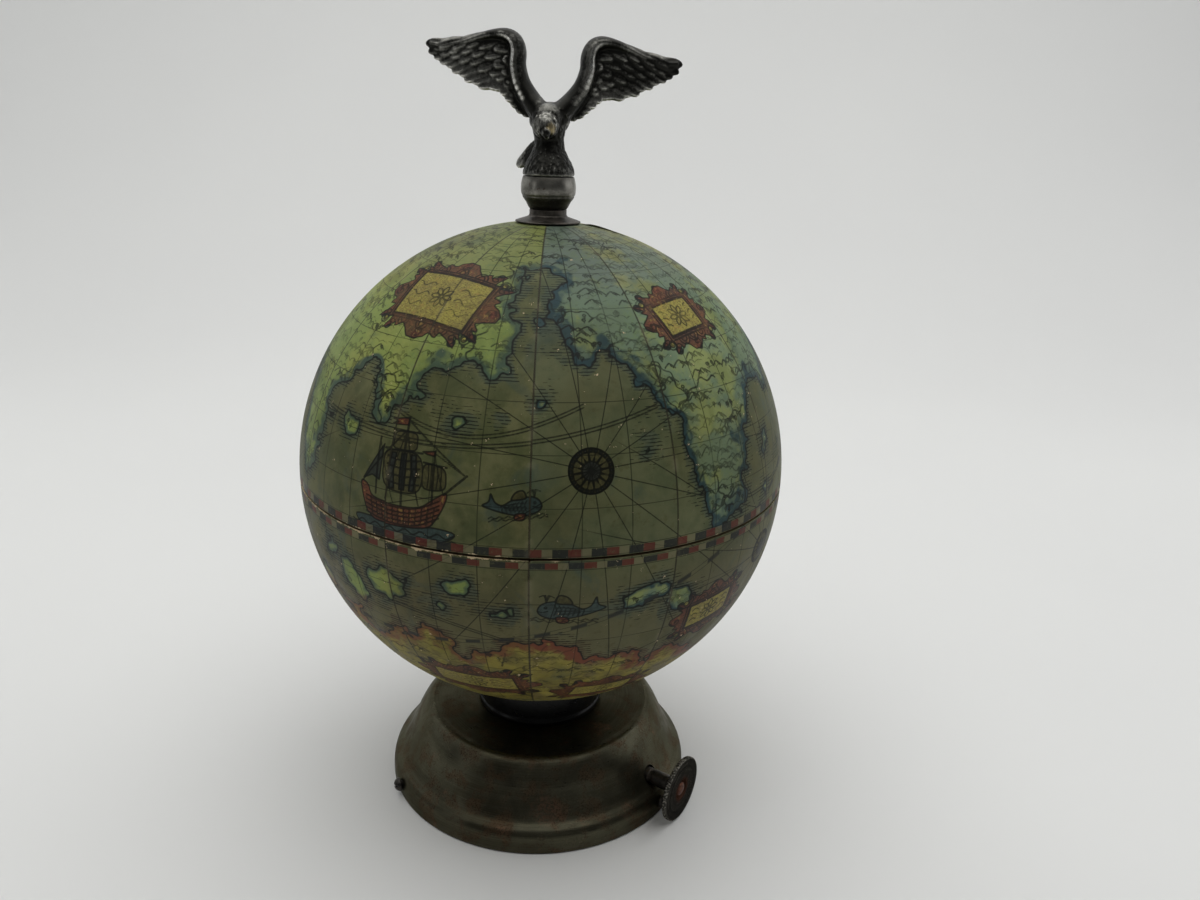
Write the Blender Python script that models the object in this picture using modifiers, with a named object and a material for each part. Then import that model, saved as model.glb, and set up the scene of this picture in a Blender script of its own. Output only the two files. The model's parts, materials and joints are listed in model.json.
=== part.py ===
"""Tabletop globe bar: a paper-covered globe that opens at the equator, on a
turned metal plinth with a side-wound music movement. Metres, +Z up, origin at
the centre of the plinth's underside, -Y towards the front."""
import math
import bpy
import bmesh
from mathutils import Matrix, Vector

MM = 0.001

# ---- driving dimensions, millimetres -------------------------------------
GLOBE_R = 82.5          # outside radius of the globe
GLOBE_Z = 122.5         # height of its centre
SHELL_T = 2.5           # pasteboard thickness
SEAM = 0.8              # open gap between the halves
ROUND = 40              # facets round the large turned pieces
ARC = 10                # facets along a quarter arc

PLINTH_TOP = 27.9
PLINTH_WALL = 1.5
BAND_R = 55.8

STUD_R = 3.1
RUN = 0.3               # free gap between pieces

SHAFT_AZ = math.radians(-33.0)   # direction of the winding shaft
SHAFT_OFF = 0.0                  # its distance from the plinth's axis
SHAFT_Z = 12.2
SHAFT_R = 2.8
DISC_R = 11.55
DISC_T = 1.7
DISC_X = 61.6                    # along the shaft, from the plinth's axis
GEAR_GAP = 13.2                  # between barrel and cylinder axes
WHEEL_TEETH, PINION_TEETH = 32, 16

HINGE_Y = 85.2
HINGE_Z = GLOBE_Z
KNUCKLE_R = 2.0

DECK_Z = 101.0
DECK_T = 3.0
FLOOR_Z = 86.8
FLOOR_T = 3.0
STAND_Z = FLOOR_Z + FLOOR_T + RUN
RING_R = 48.0           # circle the small glasses stand on
GLASSES = 6
GLASS_R, GLASS_FOOT, GLASS_H = 18.0, 14.6, 46.0
DECANTER_R = 26.2

BALL_Z, BALL_R = 215.5, 8.9
BALL_CUT = 219.0        # the eagle's skirt sits on this level
BANK = math.radians(2.6)  # lean of the spread wings

for o in list(bpy.data.objects):
    bpy.data.objects.remove(o, do_unlink=True)

parts = bpy.data.collections.new("globe_bar")
tools = bpy.data.collections.new("globe_bar_cutters")
bpy.context.scene.collection.children.link(parts)
bpy.context.scene.collection.children.link(tools)


# ---- helpers ---------------------------------------------------------------
def finish_of(name, colour, rough, metal, alpha=1.0):
    m = bpy.data.materials.new(name)
    m.use_nodes = True
    b = m.node_tree.nodes["Principled BSDF"]
    b.inputs["Base Color"].default_value = (*colour, 1.0)
    b.inputs["Roughness"].default_value = rough
    b.inputs["Metallic"].default_value = metal
    b.inputs["Alpha"].default_value = alpha
    return m


PEWTER = ((0.16, 0.15, 0.115), 0.42, 0.85)
SILVER = ((0.30, 0.30, 0.29), 0.38, 0.9)
STEEL = ((0.34, 0.34, 0.35), 0.35, 1.0)
DARK = ((0.05, 0.05, 0.05), 0.45, 0.8)
BRASS = ((0.62, 0.46, 0.19), 0.35, 1.0)
COPPER = ((0.35, 0.17, 0.11), 0.5, 0.8)
BLACK = ((0.012, 0.012, 0.014), 0.12, 0.0)
PAPER = ((0.45, 0.40, 0.20), 0.35, 0.0)
BOARD = ((0.55, 0.45, 0.28), 0.8, 0.0)
WOOD = ((0.30, 0.16, 0.08), 0.5, 0.0)
FELT = ((0.03, 0.09, 0.05), 0.95, 0.0)
GLASS = ((0.85, 0.9, 0.88), 0.05, 0.0, 0.35)


def sharpen(me):
    me.shade_smooth()
    me.set_sharp_from_angle(angle=math.radians(32))


def add(name, me, look, coll=parts):
    o = bpy.data.objects.new(name, me)
    coll.objects.link(o)
    if look is not None:
        me.materials.append(finish_of(name, *look))
    else:
        o.hide_render = True
        o.display_type = "WIRE"
    return o


def turned(name, profile, look, steps=ROUND, coll=parts, closed=True):
    """Lathe work: profile points (radius, height), down the outer side."""
    me = bpy.data.meshes.new(name)
    bm = bmesh.new()
    vs = [bm.verts.new((r * MM, 0, z * MM)) for r, z in profile]
    for a, b in zip(vs, vs[1:]):
        bm.edges.new((a, b))
    if closed:
        bm.edges.new((vs[-1], vs[0]))
    bm.to_mesh(me)
    bm.free()
    o = add(name, me, look, coll)
    s = o.modifiers.new("Turn", "SCREW")
    s.axis = "Z"
    s.angle = 2 * math.pi
    s.steps = s.render_steps = steps
    s.use_merge_vertices = True
    s.merge_threshold = 0.00001
    s.use_smooth_shade = True
    return o


def rod(name, r, z0, z1, look, steps=24, coll=parts):
    """Plain cylinder along local Z."""
    me = bpy.data.meshes.new(name)
    bm = bmesh.new()
    bmesh.ops.create_cone(bm, cap_ends=True, segments=steps, radius1=r * MM,
                          radius2=r * MM, depth=(z1 - z0) * MM,
                          matrix=Matrix.Translation((0, 0, (z0 + z1) / 2 * MM)))
    bm.to_mesh(me)
    bm.free()
    sharpen(me)
    return add(name, me, look, coll)


def block(name, lo, hi, look, coll=parts, bevel=0.0):
    """Box between two corners."""
    me = bpy.data.meshes.new(name)
    bm = bmesh.new()
    lo, hi = Vector(lo) * MM, Vector(hi) * MM
    bmesh.ops.create_cube(bm, size=1.0, matrix=Matrix.Translation((lo + hi) / 2)
                          @ Matrix.Diagonal((*(hi - lo), 1.0)))
    bm.to_mesh(me)
    bm.free()
    o = add(name, me, look, coll)
    if bevel:
        b = o.modifiers.new("Edges", "BEVEL")
        b.width = bevel * MM
        b.segments = 2
    return o


def plate(name, outlines, z0, z1, look, coll=parts):
    """Flat outline with holes, extruded from z0 to z1, as a mesh."""
    cu = bpy.data.curves.new(name, "CURVE")
    cu.dimensions = "2D"
    cu.fill_mode = "BOTH"
    cu.extrude = (z1 - z0) / 2 * MM
    cu.resolution_u = 1
    cu.render_resolution_u = 0
    for pts in outlines:
        sp = cu.splines.new("POLY")
        sp.points.add(len(pts) - 1)
        for p, (x, y) in zip(sp.points, pts):
            p.co = (x * MM, y * MM, 0, 1)
        sp.use_cyclic_u = True
    tmp = bpy.data.objects.new(name + "_outline", cu)
    bpy.context.scene.collection.objects.link(tmp)
    bpy.context.view_layer.update()
    dep = bpy.context.evaluated_depsgraph_get()
    me = bpy.data.meshes.new_from_object(tmp.evaluated_get(dep))
    me.name = name
    bm = bmesh.new()
    bm.from_mesh(me)
    bmesh.ops.remove_doubles(bm, verts=bm.verts, dist=0.000001)
    bmesh.ops.translate(bm, verts=bm.verts, vec=(0, 0, (z0 + z1) / 2 * MM))
    bmesh.ops.recalc_face_normals(bm, faces=bm.faces)
    bm.to_mesh(me)
    bm.free()
    bpy.data.objects.remove(tmp, do_unlink=True)
    bpy.data.curves.remove(cu)
    return add(name, me, look, coll)


def tube(name, path, radii, look, coll=tools, sides=1):
    """Round bar through points, with its radius given at each of them."""
    cu = bpy.data.curves.new(name, "CURVE")
    cu.dimensions = "3D"
    cu.bevel_depth = MM
    cu.bevel_resolution = sides
    cu.use_fill_caps = True
    cu.render_resolution_u = 0
    sp = cu.splines.new("POLY")
    sp.points.add(len(path) - 1)
    for p, co, r in zip(sp.points, path, radii):
        p.co = (*(Vector(co) * MM), 1)
        p.radius = r
    tmp = bpy.data.objects.new(name + "_path", cu)
    bpy.context.scene.collection.objects.link(tmp)
    bpy.context.view_layer.update()
    dep = bpy.context.evaluated_depsgraph_get()
    me = bpy.data.meshes.new_from_object(tmp.evaluated_get(dep))
    me.name = name
    bm = bmesh.new()
    bm.from_mesh(me)
    bmesh.ops.remove_doubles(bm, verts=bm.verts, dist=0.000001)
    bmesh.ops.recalc_face_normals(bm, faces=bm.faces)
    bm.to_mesh(me)
    bm.free()
    bpy.data.objects.remove(tmp, do_unlink=True)
    bpy.data.curves.remove(cu)
    return add(name, me, look, coll)


def egg(name, centre, size, look, coll=tools, turn=(0, 0, 0), n=(12, 8)):
    """Ellipsoid from a UV sphere."""
    me = bpy.data.meshes.new(name)
    bm = bmesh.new()
    bmesh.ops.create_uvsphere(bm, u_segments=n[0], v_segments=n[1], radius=1.0)
    m = (Matrix.Translation(Vector(centre) * MM)
         @ Matrix.Rotation(turn[2], 4, "Z") @ Matrix.Rotation(turn[1], 4, "Y")
         @ Matrix.Rotation(turn[0], 4, "X")
         @ Matrix.Diagonal((*(Vector(size) * MM), 1.0)))
    bmesh.ops.transform(bm, matrix=m, verts=bm.verts)
    bm.to_mesh(me)
    bm.free()
    return add(name, me, look, coll)


def combine(obj, other, op="DIFFERENCE"):
    b = obj.modifiers.new(other.name, "BOOLEAN")
    b.operation = op
    b.solver = "EXACT"
    b.object = other
    return obj


def empty(name, at, rot=(0, 0, 0)):
    e = bpy.data.objects.new(name, None)
    parts.objects.link(e)
    e.location = Vector(at) * MM
    e.rotation_euler = rot
    bpy.context.view_layer.update()
    return e


def under(parent, *objs, world=False):
    """Parent pieces to a joint's empty: modelled in its frame, or in world."""
    for o in objs:
        o.parent = parent
        if world:
            o.matrix_parent_inverse = parent.matrix_world.inverted()


def rehome(o, at):
    """Put a world-modelled piece's own origin on its joint axis."""
    o.data.transform(Matrix.Translation(-Vector(at) * MM))
    o.location = Vector(at) * MM


def arc(radius, a0, a1, n, zc=GLOBE_Z):
    """Points on a circle about the globe's centre; angles from the axis up."""
    return [(radius * math.sin(a0 + (a1 - a0) * i / n),
             zc + radius * math.cos(a0 + (a1 - a0) * i / n)) for i in range(n + 1)]


def ring(r, n, cx=0.0, cy=0.0, phase=0.0):
    return [(cx + r * math.cos(phase + 2 * math.pi * i / n),
             cy + r * math.sin(phase + 2 * math.pi * i / n)) for i in range(n)]


def gear(teeth, pitch_r, phase=0.0, add_h=0.35, ded=0.5, half=0.2):
    """Outline of a fine-toothed wheel; half is a tooth's half width in pitches."""
    pts = []
    step = 2 * math.pi / teeth
    for i in range(teeth):
        a = phase + i * step
        for r, w in ((pitch_r - ded, -1.35), (pitch_r + add_h, -0.65),
                     (pitch_r + add_h, 0.65), (pitch_r - ded, 1.35)):
            t = a + w * half * step
            pts.append((r * math.cos(t), r * math.sin(t)))
    return pts


# ---- joint frames ----------------------------------------------------------
base_frame = empty("base_frame", (0, 0, 0))
globe_axis = empty("globe_axis", (0, 0, 30))
lid_axis = empty("lid_axis", (0, HINGE_Y, HINGE_Z))


def in_movement(x, y, z):
    c, s = math.cos(SHAFT_AZ), math.sin(SHAFT_AZ)
    return (x * c - y * s, x * s + y * c, z)


BED_Y = -11.66          # the shaft's place across the movement's bed
movement = empty("movement_frame", in_movement(0, SHAFT_OFF - BED_Y, 0), (0, 0, SHAFT_AZ))


along = (0, math.pi / 2, SHAFT_AZ)      # local Z points along the shaft
shaft_axis = empty("shaft_axis", in_movement(0, SHAFT_OFF, SHAFT_Z), along)
CYL_Y = SHAFT_OFF + GEAR_GAP
cylinder_axis = empty("cylinder_axis", in_movement(0, CYL_Y, SHAFT_Z), along)
FLY_XY = (-28.0, 12.5)
fly_axis = empty("fly_axis", in_movement(FLY_XY[0], FLY_XY[1] + SHAFT_OFF - BED_Y, 0))

# ---- plinth ----------------------------------------------------------------
plinth_outer = [(STUD_R + RUN, PLINTH_TOP), (38.6, PLINTH_TOP), (39.5, 28.3), (40.7, 28.4),
                (41.8, 27.8), (43.3, 26.2), (44.9, 23.8), (46.4, 20.9), (47.7, 17.9),
                (49.1, 14.7), (50.3, 12.0), (51.4, 9.9), (52.8, 9.1), (54.1, 8.5),
                (55.2, 7.4), (BAND_R, 5.2), (BAND_R, 1.1), (55.4, 0.4)]
plinth_inner = [(54.2, 0.4), (54.2, 6.7), (50.4, 8.2), (48.8, 11.4), (47.5, 14.3), (46.2, 17.5),
                (44.9, 20.4), (43.4, 23.2), (41.6, 25.4), (39.8, PLINTH_TOP - PLINTH_WALL),
                (STUD_R + RUN, PLINTH_TOP - PLINTH_WALL)]
base_shell = turned("base_shell", plinth_outer + plinth_inner, PEWTER)

base_plate = turned("base_plate", [(0, 2.5), (52.0, 2.5), (52.0, 6.4), (53.4, 6.4),
                                   (53.4, 1.3), (0, 1.3)], STEEL, closed=False)
felt_pad = turned("felt_pad", [(0, 1.0), (49.6, 1.0), (50.0, 0.6), (50.0, 0.0), (0, 0.0)],
                  FELT, closed=False)

shaft_hole = rod("shaft_hole_tool", 3.5, 30, 60, None, 24, tools)
under(shaft_axis, shaft_hole)
combine(base_shell, shaft_hole)

SCREW_Z = 4.4
SCREW_AZ = (-151, -34, 88)
for i in range(3):
    az = math.radians(SCREW_AZ[i])
    hole = rod(f"rim_hole_tool_{i + 1}", 1.5, 48, 60, None, 12, tools)
    hole.rotation_euler = (0, math.pi / 2, az)
    hole.location = (0, 0, SCREW_Z * MM)
    combine(base_shell, hole)
    combine(base_plate, hole)
    screw = turned(f"rim_screw_{i + 1}",
                   [(0, 2.2), (1.1, 2.05), (1.9, 1.5), (2.4, 0.6), (2.5, 0), (1.2, 0),
                    (1.2, -4.2), (0, -4.6)], DARK, 16, closed=False)
    screw.rotation_euler = (0, math.pi / 2, az)
    screw.location = Vector((math.cos(az) * 56.1, math.sin(az) * 56.1, SCREW_Z)) * MM
    slot = block(f"screw_slot_tool_{i + 1}", (-0.35, -4, 1.5), (0.35, 4, 4), None, tools)
    slot.rotation_euler = screw.rotation_euler
    slot.location = screw.location
    combine(screw, slot)

swivel_collar = turned("swivel_collar",
                       [(18.0, 41.5), (22.3, 42.6), (22.6, 30.5), (23.2, 29.7),
                        (23.2, PLINTH_TOP + RUN), (18.0, PLINTH_TOP + RUN)], BLACK)

pivot_stud = turned("pivot_stud", [(0, 57.0), (2.5, 57.0), (STUD_R, 56.4), (STUD_R, 26.1),
                                   (6.2, 26.1), (6.2, 23.6), (0, 23.6)], STEEL, 20, closed=False)
BOSS_TOP = 47.3
pivot_washer = turned("pivot_washer", [(STUD_R + RUN, BOSS_TOP + 1.5), (11, BOSS_TOP + 1.5),
                                       (11, BOSS_TOP + RUN), (STUD_R + RUN, BOSS_TOP + RUN)], BRASS, 24)
pivot_nut = rod("pivot_nut", 6.0, BOSS_TOP + 1.8, BOSS_TOP + 6.4, STEEL, 6)
nut_hole = rod("nut_hole_tool", STUD_R + RUN, BOSS_TOP, BOSS_TOP + 9, None, 20, tools)
combine(pivot_nut, nut_hole)

# ---- music movement, in the frame of the winding shaft ----------------------
movement_plate = block("movement_plate", (-32, -20, 2.8), (28, 28, 4.6), BRASS, bevel=0.4)
wheel_slot = block("wheel_slot_tool", (13.8, BED_Y - 8, 2), (18.7, BED_Y + 8, 6), None, tools)
under(movement, wheel_slot)
combine(movement_plate, wheel_slot)

shaft_bore = rod("shaft_bore_tool", SHAFT_R + RUN, -30, 30, None, 20, tools)
under(shaft_axis, shaft_bore)
arbor_bore = rod("arbor_bore_tool", 1.8, -30, 30, None, 16, tools)
under(cylinder_axis, arbor_bore)
ends = []
for name, x0 in (("end_plate_outer", 24.0), ("end_plate_inner", -22.6)):
    e = block(name, (x0, -19, 4.9), (x0 + 1.6, 9.5, 19.6), BRASS, bevel=0.3)
    combine(e, shaft_bore)
    combine(e, arbor_bore)
    ends.append(e)

comb_block = block("comb_block", (-18, 17.6, 4.9), (13.5, 26.5, 11.4), DARK, bevel=0.4)
TEETH, PITCH = 18, 31.5 / 18
tone_comb = block("tone_comb", (-18, 8.4, 11.7), (13.5, 26.5, 12.7), STEEL)
gaps = block("comb_gap_tool", (-18 + PITCH - 0.55, 6, 10), (-18 + PITCH, 17.2, 14), None, tools)
row = gaps.modifiers.new("Row", "ARRAY")
row.count = TEETH - 1
row.use_relative_offset = False
row.use_constant_offset = True
row.constant_offset_displace = (PITCH * MM, 0, 0)
row.merge_threshold = 0.00001
under(movement, gaps)
combine(tone_comb, gaps)
comb_screws = []
for i, x in enumerate((-12.0, 7.0)):
    h = rod(f"comb_hole_tool_{i + 1}", 1.6, 5.6, 20, None, 12, tools)
    h.location = (x * MM, 22 * MM, 0)
    under(movement, h)
    combine(comb_block, h)
    combine(tone_comb, h)
    s = turned(f"comb_screw_{i + 1}", [(0, 14.5), (2.0, 14.5), (2.4, 14.0), (2.4, 13.0), (1.3, 13.0),
                                       (1.3, 6.2), (0, 6.0)], STEEL, 14, closed=False)
    s.location = (x * MM, 22 * MM, 0)
    comb_screws.append(s)

governor_bracket = plate("governor_bracket",
                         [[(3, 4.9), (16, 4.9), (16, 6.4), (6, 6.4), (6, 19.3), (16, 19.3),
                           (16, 20.5), (3, 20.5)]], -31, -25, BRASS)
governor_bracket.rotation_euler = (math.pi / 2, 0, math.pi / 2)
ratchet_click = block("ratchet_click", (19.6, BED_Y - 2.5, 18.75), (23.7, BED_Y + 2.5, 19.4),
                      STEEL, bevel=0.15)
under(movement, movement_plate, comb_block, tone_comb, *comb_screws, governor_bracket,
      ratchet_click, *ends)

spindle = turned("governor_fly", [(0, 19.0), (0.7, 18.8), (0.7, 7.6), (1.4, 7.4), (1.4, 6.9), (0, 6.7)],
                 BRASS, 12, closed=False)
vane = block("vane_tool", (-4.4, -0.35, 8.6), (4.4, 0.35, 17.4), None, tools)
combine(spindle, vane, "UNION")
under(fly_axis, spindle, vane)

spring_barrel = turned("spring_barrel",
                       [(SHAFT_R + RUN, 14.5), (5.6, 14.5), (6.6, 13.6), (6.6, -17.6), (5.6, -18.5),
                        (SHAFT_R + RUN, -18.5)], BRASS, 24)
wheel_pitch = GEAR_GAP * WHEEL_TEETH / (WHEEL_TEETH + PINION_TEETH)
pinion_pitch = GEAR_GAP - wheel_pitch
# local Y of both gear frames points from the barrel to the cylinder; a wheel
# tooth points that way and a pinion gap faces it
great_wheel = plate("great_wheel", [gear(WHEEL_TEETH, wheel_pitch, math.pi / 2),
                                    ring(SHAFT_R + RUN, 20)], 15.0, 17.5, BRASS)
cylinder_pinion = plate("cylinder_pinion",
                        [gear(PINION_TEETH, pinion_pitch, -math.pi / 2 + math.pi / PINION_TEETH),
                         ring(1.8, 16)], 15.0, 17.5, BRASS)
pin_cylinder = turned("pin_cylinder", [(0, 26.4), (1.5, 26.2), (1.5, 13.9), (4.6, 13.9), (5.4, 13.3),
                                       (5.4, -17.9), (4.6, -18.5), (1.5, -18.5), (1.5, -23.2), (0, -23.4)],
                      BRASS, 24, closed=False)
winding_shaft = turned("winding_shaft", [(0, DISC_X - RUN), (2.4, DISC_X - RUN),
                                         (SHAFT_R, DISC_X - 0.9), (SHAFT_R, -23.6), (0, -23.9)],
                       STEEL, 20, closed=False)
ratchet = [((6.0 if k == 0 else 4.9) * math.cos(t), (6.0 if k == 0 else 4.9) * math.sin(t))
           for i in range(16) for k, t in ((0, i * math.pi / 8), (1, i * math.pi / 8 + 0.06))]
ratchet_wheel = plate("ratchet_wheel", [ratchet, ring(SHAFT_R + RUN, 20)], 19.4, 21.4, STEEL)
winding_disc = turned("winding_disc",
                      [(1.9, DISC_X + DISC_T - 0.9), (3.3, DISC_X + DISC_T - 0.9), (3.6, DISC_X + DISC_T),
                       (DISC_R - 0.5, DISC_X + DISC_T), (DISC_R, DISC_X + DISC_T - 0.5),
                       (DISC_R, DISC_X + 0.5), (DISC_R - 0.5, DISC_X), (1.9, DISC_X)], STEEL, 28)
disc_rivet = turned("disc_rivet",
                    [(0, DISC_X + DISC_T + 0.35), (1.5, DISC_X + DISC_T + 0.25), (2.5, DISC_X + DISC_T - 0.35),
                     (2.5, DISC_X + DISC_T - 0.6), (1.5, DISC_X + DISC_T - 0.6), (1.5, DISC_X + 0.1),
                     (0, DISC_X + 0.1)], COPPER, 16, closed=False)
under(shaft_axis, spring_barrel, great_wheel, winding_shaft, ratchet_wheel, winding_disc, disc_rivet)
under(cylinder_axis, cylinder_pinion, pin_cylinder)

# ---- globe -----------------------------------------------------------------
HALF_GAP = math.asin(SEAM / 2 / GLOBE_R)
R_IN = GLOBE_R - SHELL_T


def hole_angle(radius, r):
    return math.asin(r / radius)


rim = math.pi / 2
stud_hole = STUD_R + 0.5
lower_profile = (arc(GLOBE_R, rim + HALF_GAP, math.pi - hole_angle(GLOBE_R, stud_hole), ARC)
                 + arc(R_IN, math.pi - hole_angle(R_IN, stud_hole),
                       rim + math.asin(SEAM / 2 / R_IN), ARC))
globe_lower = turned("globe_lower_shell", lower_profile, PAPER)
upper_profile = (arc(GLOBE_R, hole_angle(GLOBE_R, 2.3), rim - HALF_GAP, ARC)
                 + arc(R_IN, rim - math.asin(SEAM / 2 / R_IN), hole_angle(R_IN, 2.3), ARC))
globe_upper = turned("globe_upper_shell", upper_profile, PAPER)

thumb = rod("thumb_notch_tool", 2.6, 76, 86, None, 16, tools)
thumb.rotation_euler = (math.pi / 2, 0, 0)
thumb.location = (-1.0 * MM, 0, (GLOBE_Z - SEAM / 2) * MM)
combine(globe_lower, thumb)

boss_r = R_IN - 0.6
pivot_boss = turned("pivot_boss", [(stud_hole, BOSS_TOP), (22.0, BOSS_TOP)]
                    + [(r, GLOBE_Z - math.sqrt(boss_r ** 2 - r ** 2)) for r in (22.0, 17.0, 11.0, stud_hole)],
                    WOOD, 24)
rim_ring = turned("rim_ring", [(77.3, 126.0), (78.6, 126.0), (78.8, 125.0), (78.8, 113.4), (77.3, 113.4)], BOARD)
tray_floor = turned("tray_floor", [(0, FLOOR_Z + FLOOR_T), (70.8, FLOOR_Z + FLOOR_T), (70.8, FLOOR_Z),
                                   (0, FLOOR_Z)], WOOD, closed=False)
tray_deck = rod("tray_deck", 76.2, DECK_Z, DECK_Z + DECK_T, WOOD, ROUND)
deck_hole = rod("deck_hole_tool", 27.6, DECK_Z - 5, DECK_Z + 8, None, 24, tools)
combine(tray_deck, deck_hole)
decanter_socket = turned("decanter_socket", [(27.6, DECK_Z - RUN), (28.9, DECK_Z - RUN),
                                             (28.9, STAND_Z), (27.6, STAND_Z)], WOOD, 24)

# ---- drinks set ------------------------------------------------------------
decanter_axis = empty("decanter_axis", (0, 0, STAND_Z))
D0 = STAND_Z
decanter = turned("decanter",
                  [(0, D0 + 4.0), (21.0, D0 + 4.4), (23.6, D0 + 7.0), (23.8, D0 + 34.0), (21.8, D0 + 40.0),
                   (16.0, D0 + 45.5), (9.4, D0 + 50.5), (6.6, D0 + 57.0), (6.6, D0 + 70.0),
                   (10.6, D0 + 70.0), (11.2, D0 + 68.6), (10.6, D0 + 67.0), (9.0, D0 + 66.0), (8.8, D0 + 58.0),
                   (11.4, D0 + 52.6), (17.6, D0 + 47.6), (23.6, D0 + 42.2), (DECANTER_R, D0 + 34.6),
                   (DECANTER_R, D0 + 2.4), (24.4, D0), (0, D0)], GLASS, 20, closed=False)
S0 = D0 + 70.0 + RUN
stopper = turned("decanter_stopper",
                 [(0, S0 + 16.4), (3.4, S0 + 15.6), (6.2, S0 + 12.8), (7.2, S0 + 9.0), (6.2, S0 + 5.4),
                  (4.2, S0 + 3.2), (4.6, S0 + 2.2), (9.6, S0 + 1.6), (10.2, S0 + 0.8), (9.8, S0),
                  (6.2, S0), (5.6, S0 - 10.6), (0, S0 - 11.0)], GLASS, 16, closed=False)
for o in (decanter, stopper):
    under(decanter_axis, o, world=True)

glass_objs = []
for i in range(GLASSES):
    a = math.radians(30 + 60 * i)
    at = (RING_R * math.cos(a), RING_R * math.sin(a), STAND_Z)
    hole = rod(f"glass_hole_tool_{i + 1}", GLASS_R + 0.9, DECK_Z - 5, DECK_Z + 8, None, 20, tools)
    hole.location = (at[0] * MM, at[1] * MM, 0)
    combine(tray_deck, hole)
    g = turned(f"shot_glass_{i + 1}",
               [(0, 6.6), (12.2, 6.9), (13.3, 8.4), (GLASS_R - 1.6, GLASS_H - 0.3), (GLASS_R - 0.8, GLASS_H),
                (GLASS_R, GLASS_H - 0.6), (GLASS_FOOT, 1.0), (GLASS_FOOT - 0.9, 0.0), (0, 0.0)],
               GLASS, 16, closed=False)
    g.location = Vector(at) * MM
    glass_objs.append(g)

# ---- hinge at the back -------------------------------------------------------
LEAF_HALF = 12.0
LEAF_H = 10.0


def leaf(name, z_near, z_far, tab_spans):
    """Curved leaf lying on the globe, with its tabs and knuckles."""
    me = bpy.data.meshes.new(name)
    bm = bmesh.new()
    bmesh.ops.create_grid(bm, x_segments=8, y_segments=3, size=1.0)
    r = GLOBE_R + 0.35
    for v in bm.verts:
        x = v.co.x * LEAF_HALF
        z = z_near + (z_far - z_near) * (v.co.y + 1) / 2
        v.co = (x * MM, math.sqrt(r * r - x * x - z * z) * MM, (GLOBE_Z + z) * MM)
    bmesh.ops.recalc_face_normals(bm, faces=bm.faces)
    if bm.faces[:][0].normal.y < 0:
        bmesh.ops.reverse_faces(bm, faces=bm.faces[:])
    bm.to_mesh(me)
    bm.free()
    o = add(name, me, BRASS)
    s = o.modifiers.new("Thickness", "SOLIDIFY")
    s.thickness = 0.8 * MM
    s.offset = 1.0
    up = 1 if z_far > 0 else -1
    for k, (x0, x1) in enumerate(tab_spans):
        z0, z1 = sorted((up * 0.3, up * (abs(z_near) + 1.2)))
        tab = block(f"{name}_tab_tool_{k}", (x0, HINGE_Y - 1.9, GLOBE_Z + z0), (x1, HINGE_Y - 0.9, GLOBE_Z + z1),
                    None, tools)
        combine(o, tab, "UNION")
        kn = rod(f"{name}_knuckle_tool_{k}", KNUCKLE_R, x0, x1, None, 16, tools)
        kn.rotation_euler = (0, math.pi / 2, 0)
        kn.location = Vector((0, HINGE_Y, HINGE_Z)) * MM
        combine(o, kn, "UNION")
    bore = rod(f"{name}_bore_tool", 1.2, -14, 14, None, 12, tools)
    bore.rotation_euler = (0, math.pi / 2, 0)
    bore.location = Vector((0, HINGE_Y, HINGE_Z)) * MM
    combine(o, bore)
    return o


leaf_lower = leaf("hinge_leaf_lower", -2.5, -2.5 - LEAF_H, [(-12.0, -4.3), (4.3, 12.0)])
leaf_upper = leaf("hinge_leaf_upper", 2.5, 2.5 + LEAF_H, [(-4.0, 4.0)])
hinge_pin = rod("hinge_pin", 0.9, -12.6, 12.6, STEEL, 12)
hinge_pin.rotation_euler = (0, math.pi / 2, 0)
hinge_pin.location = Vector((0, HINGE_Y, HINGE_Z)) * MM

rivets = []
for name, shell, lf, zz, xs in (("lower", globe_lower, leaf_lower, -8.0, (-7.5, 7.5)),
                                ("upper", globe_upper, leaf_upper, 8.0, (-7.5, 7.5))):
    for k, x in enumerate(xs):
        d = Vector((x, math.sqrt(GLOBE_R ** 2 - x * x - zz * zz), zz)).normalized()
        rot = d.to_track_quat("Z", "Y").to_euler()
        hole = rod(f"rivet_hole_tool_{name}_{k}", 1.05, 76, 90, None, 10, tools)
        hole.rotation_euler = rot
        hole.location = (0, 0, GLOBE_Z * MM)
        combine(shell, hole)
        combine(lf, hole)
        rv = turned(f"hinge_rivet_{name}_{k + 1}",
                    [(0, 84.75), (1.0, 84.6), (1.7, 84.0), (0.75, 84.0), (0.75, 79.4), (0, 79.3)],
                    BRASS, 10, closed=False)
        rv.rotation_euler = rot
        rv.location = (0, 0, GLOBE_Z * MM)
        rivets.append((name, rv))

# ---- finial ----------------------------------------------------------------
finial_flange = turned("finial_flange",
                       [(2.2, 208.5), (5.5, 208.5), (5.7, 208.0), (5.6, 207.0), (6.6, 206.5), (9.6, 206.1),
                        (10.4, 205.6), (10.4, 204.75), (6.0, 205.1), (2.2, 205.25)], SILVER, 24)
ball_arc = [(BALL_R * math.sin(t), BALL_Z + BALL_R * math.cos(t))
            for t in [math.acos((BALL_CUT - BALL_Z) / BALL_R)
                      + (math.acos(-6.6 / BALL_R) - math.acos((BALL_CUT - BALL_Z) / BALL_R)) * i / 9
                      for i in range(10)]]
finial_ball = turned("finial_ball", [(2.1, BALL_CUT)] + ball_arc + [(2.1, BALL_Z - 6.6)], SILVER, 20)
finial_screw = turned("finial_screw", [(0, 214.0), (1.4, 213.8), (1.7, 213.4), (1.7, 198.9), (4.4, 198.9),
                                       (4.4, 197.0), (3.4, 196.0), (0, 195.8)], STEEL, 16, closed=False)
back_r = R_IN - 0.6
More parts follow.
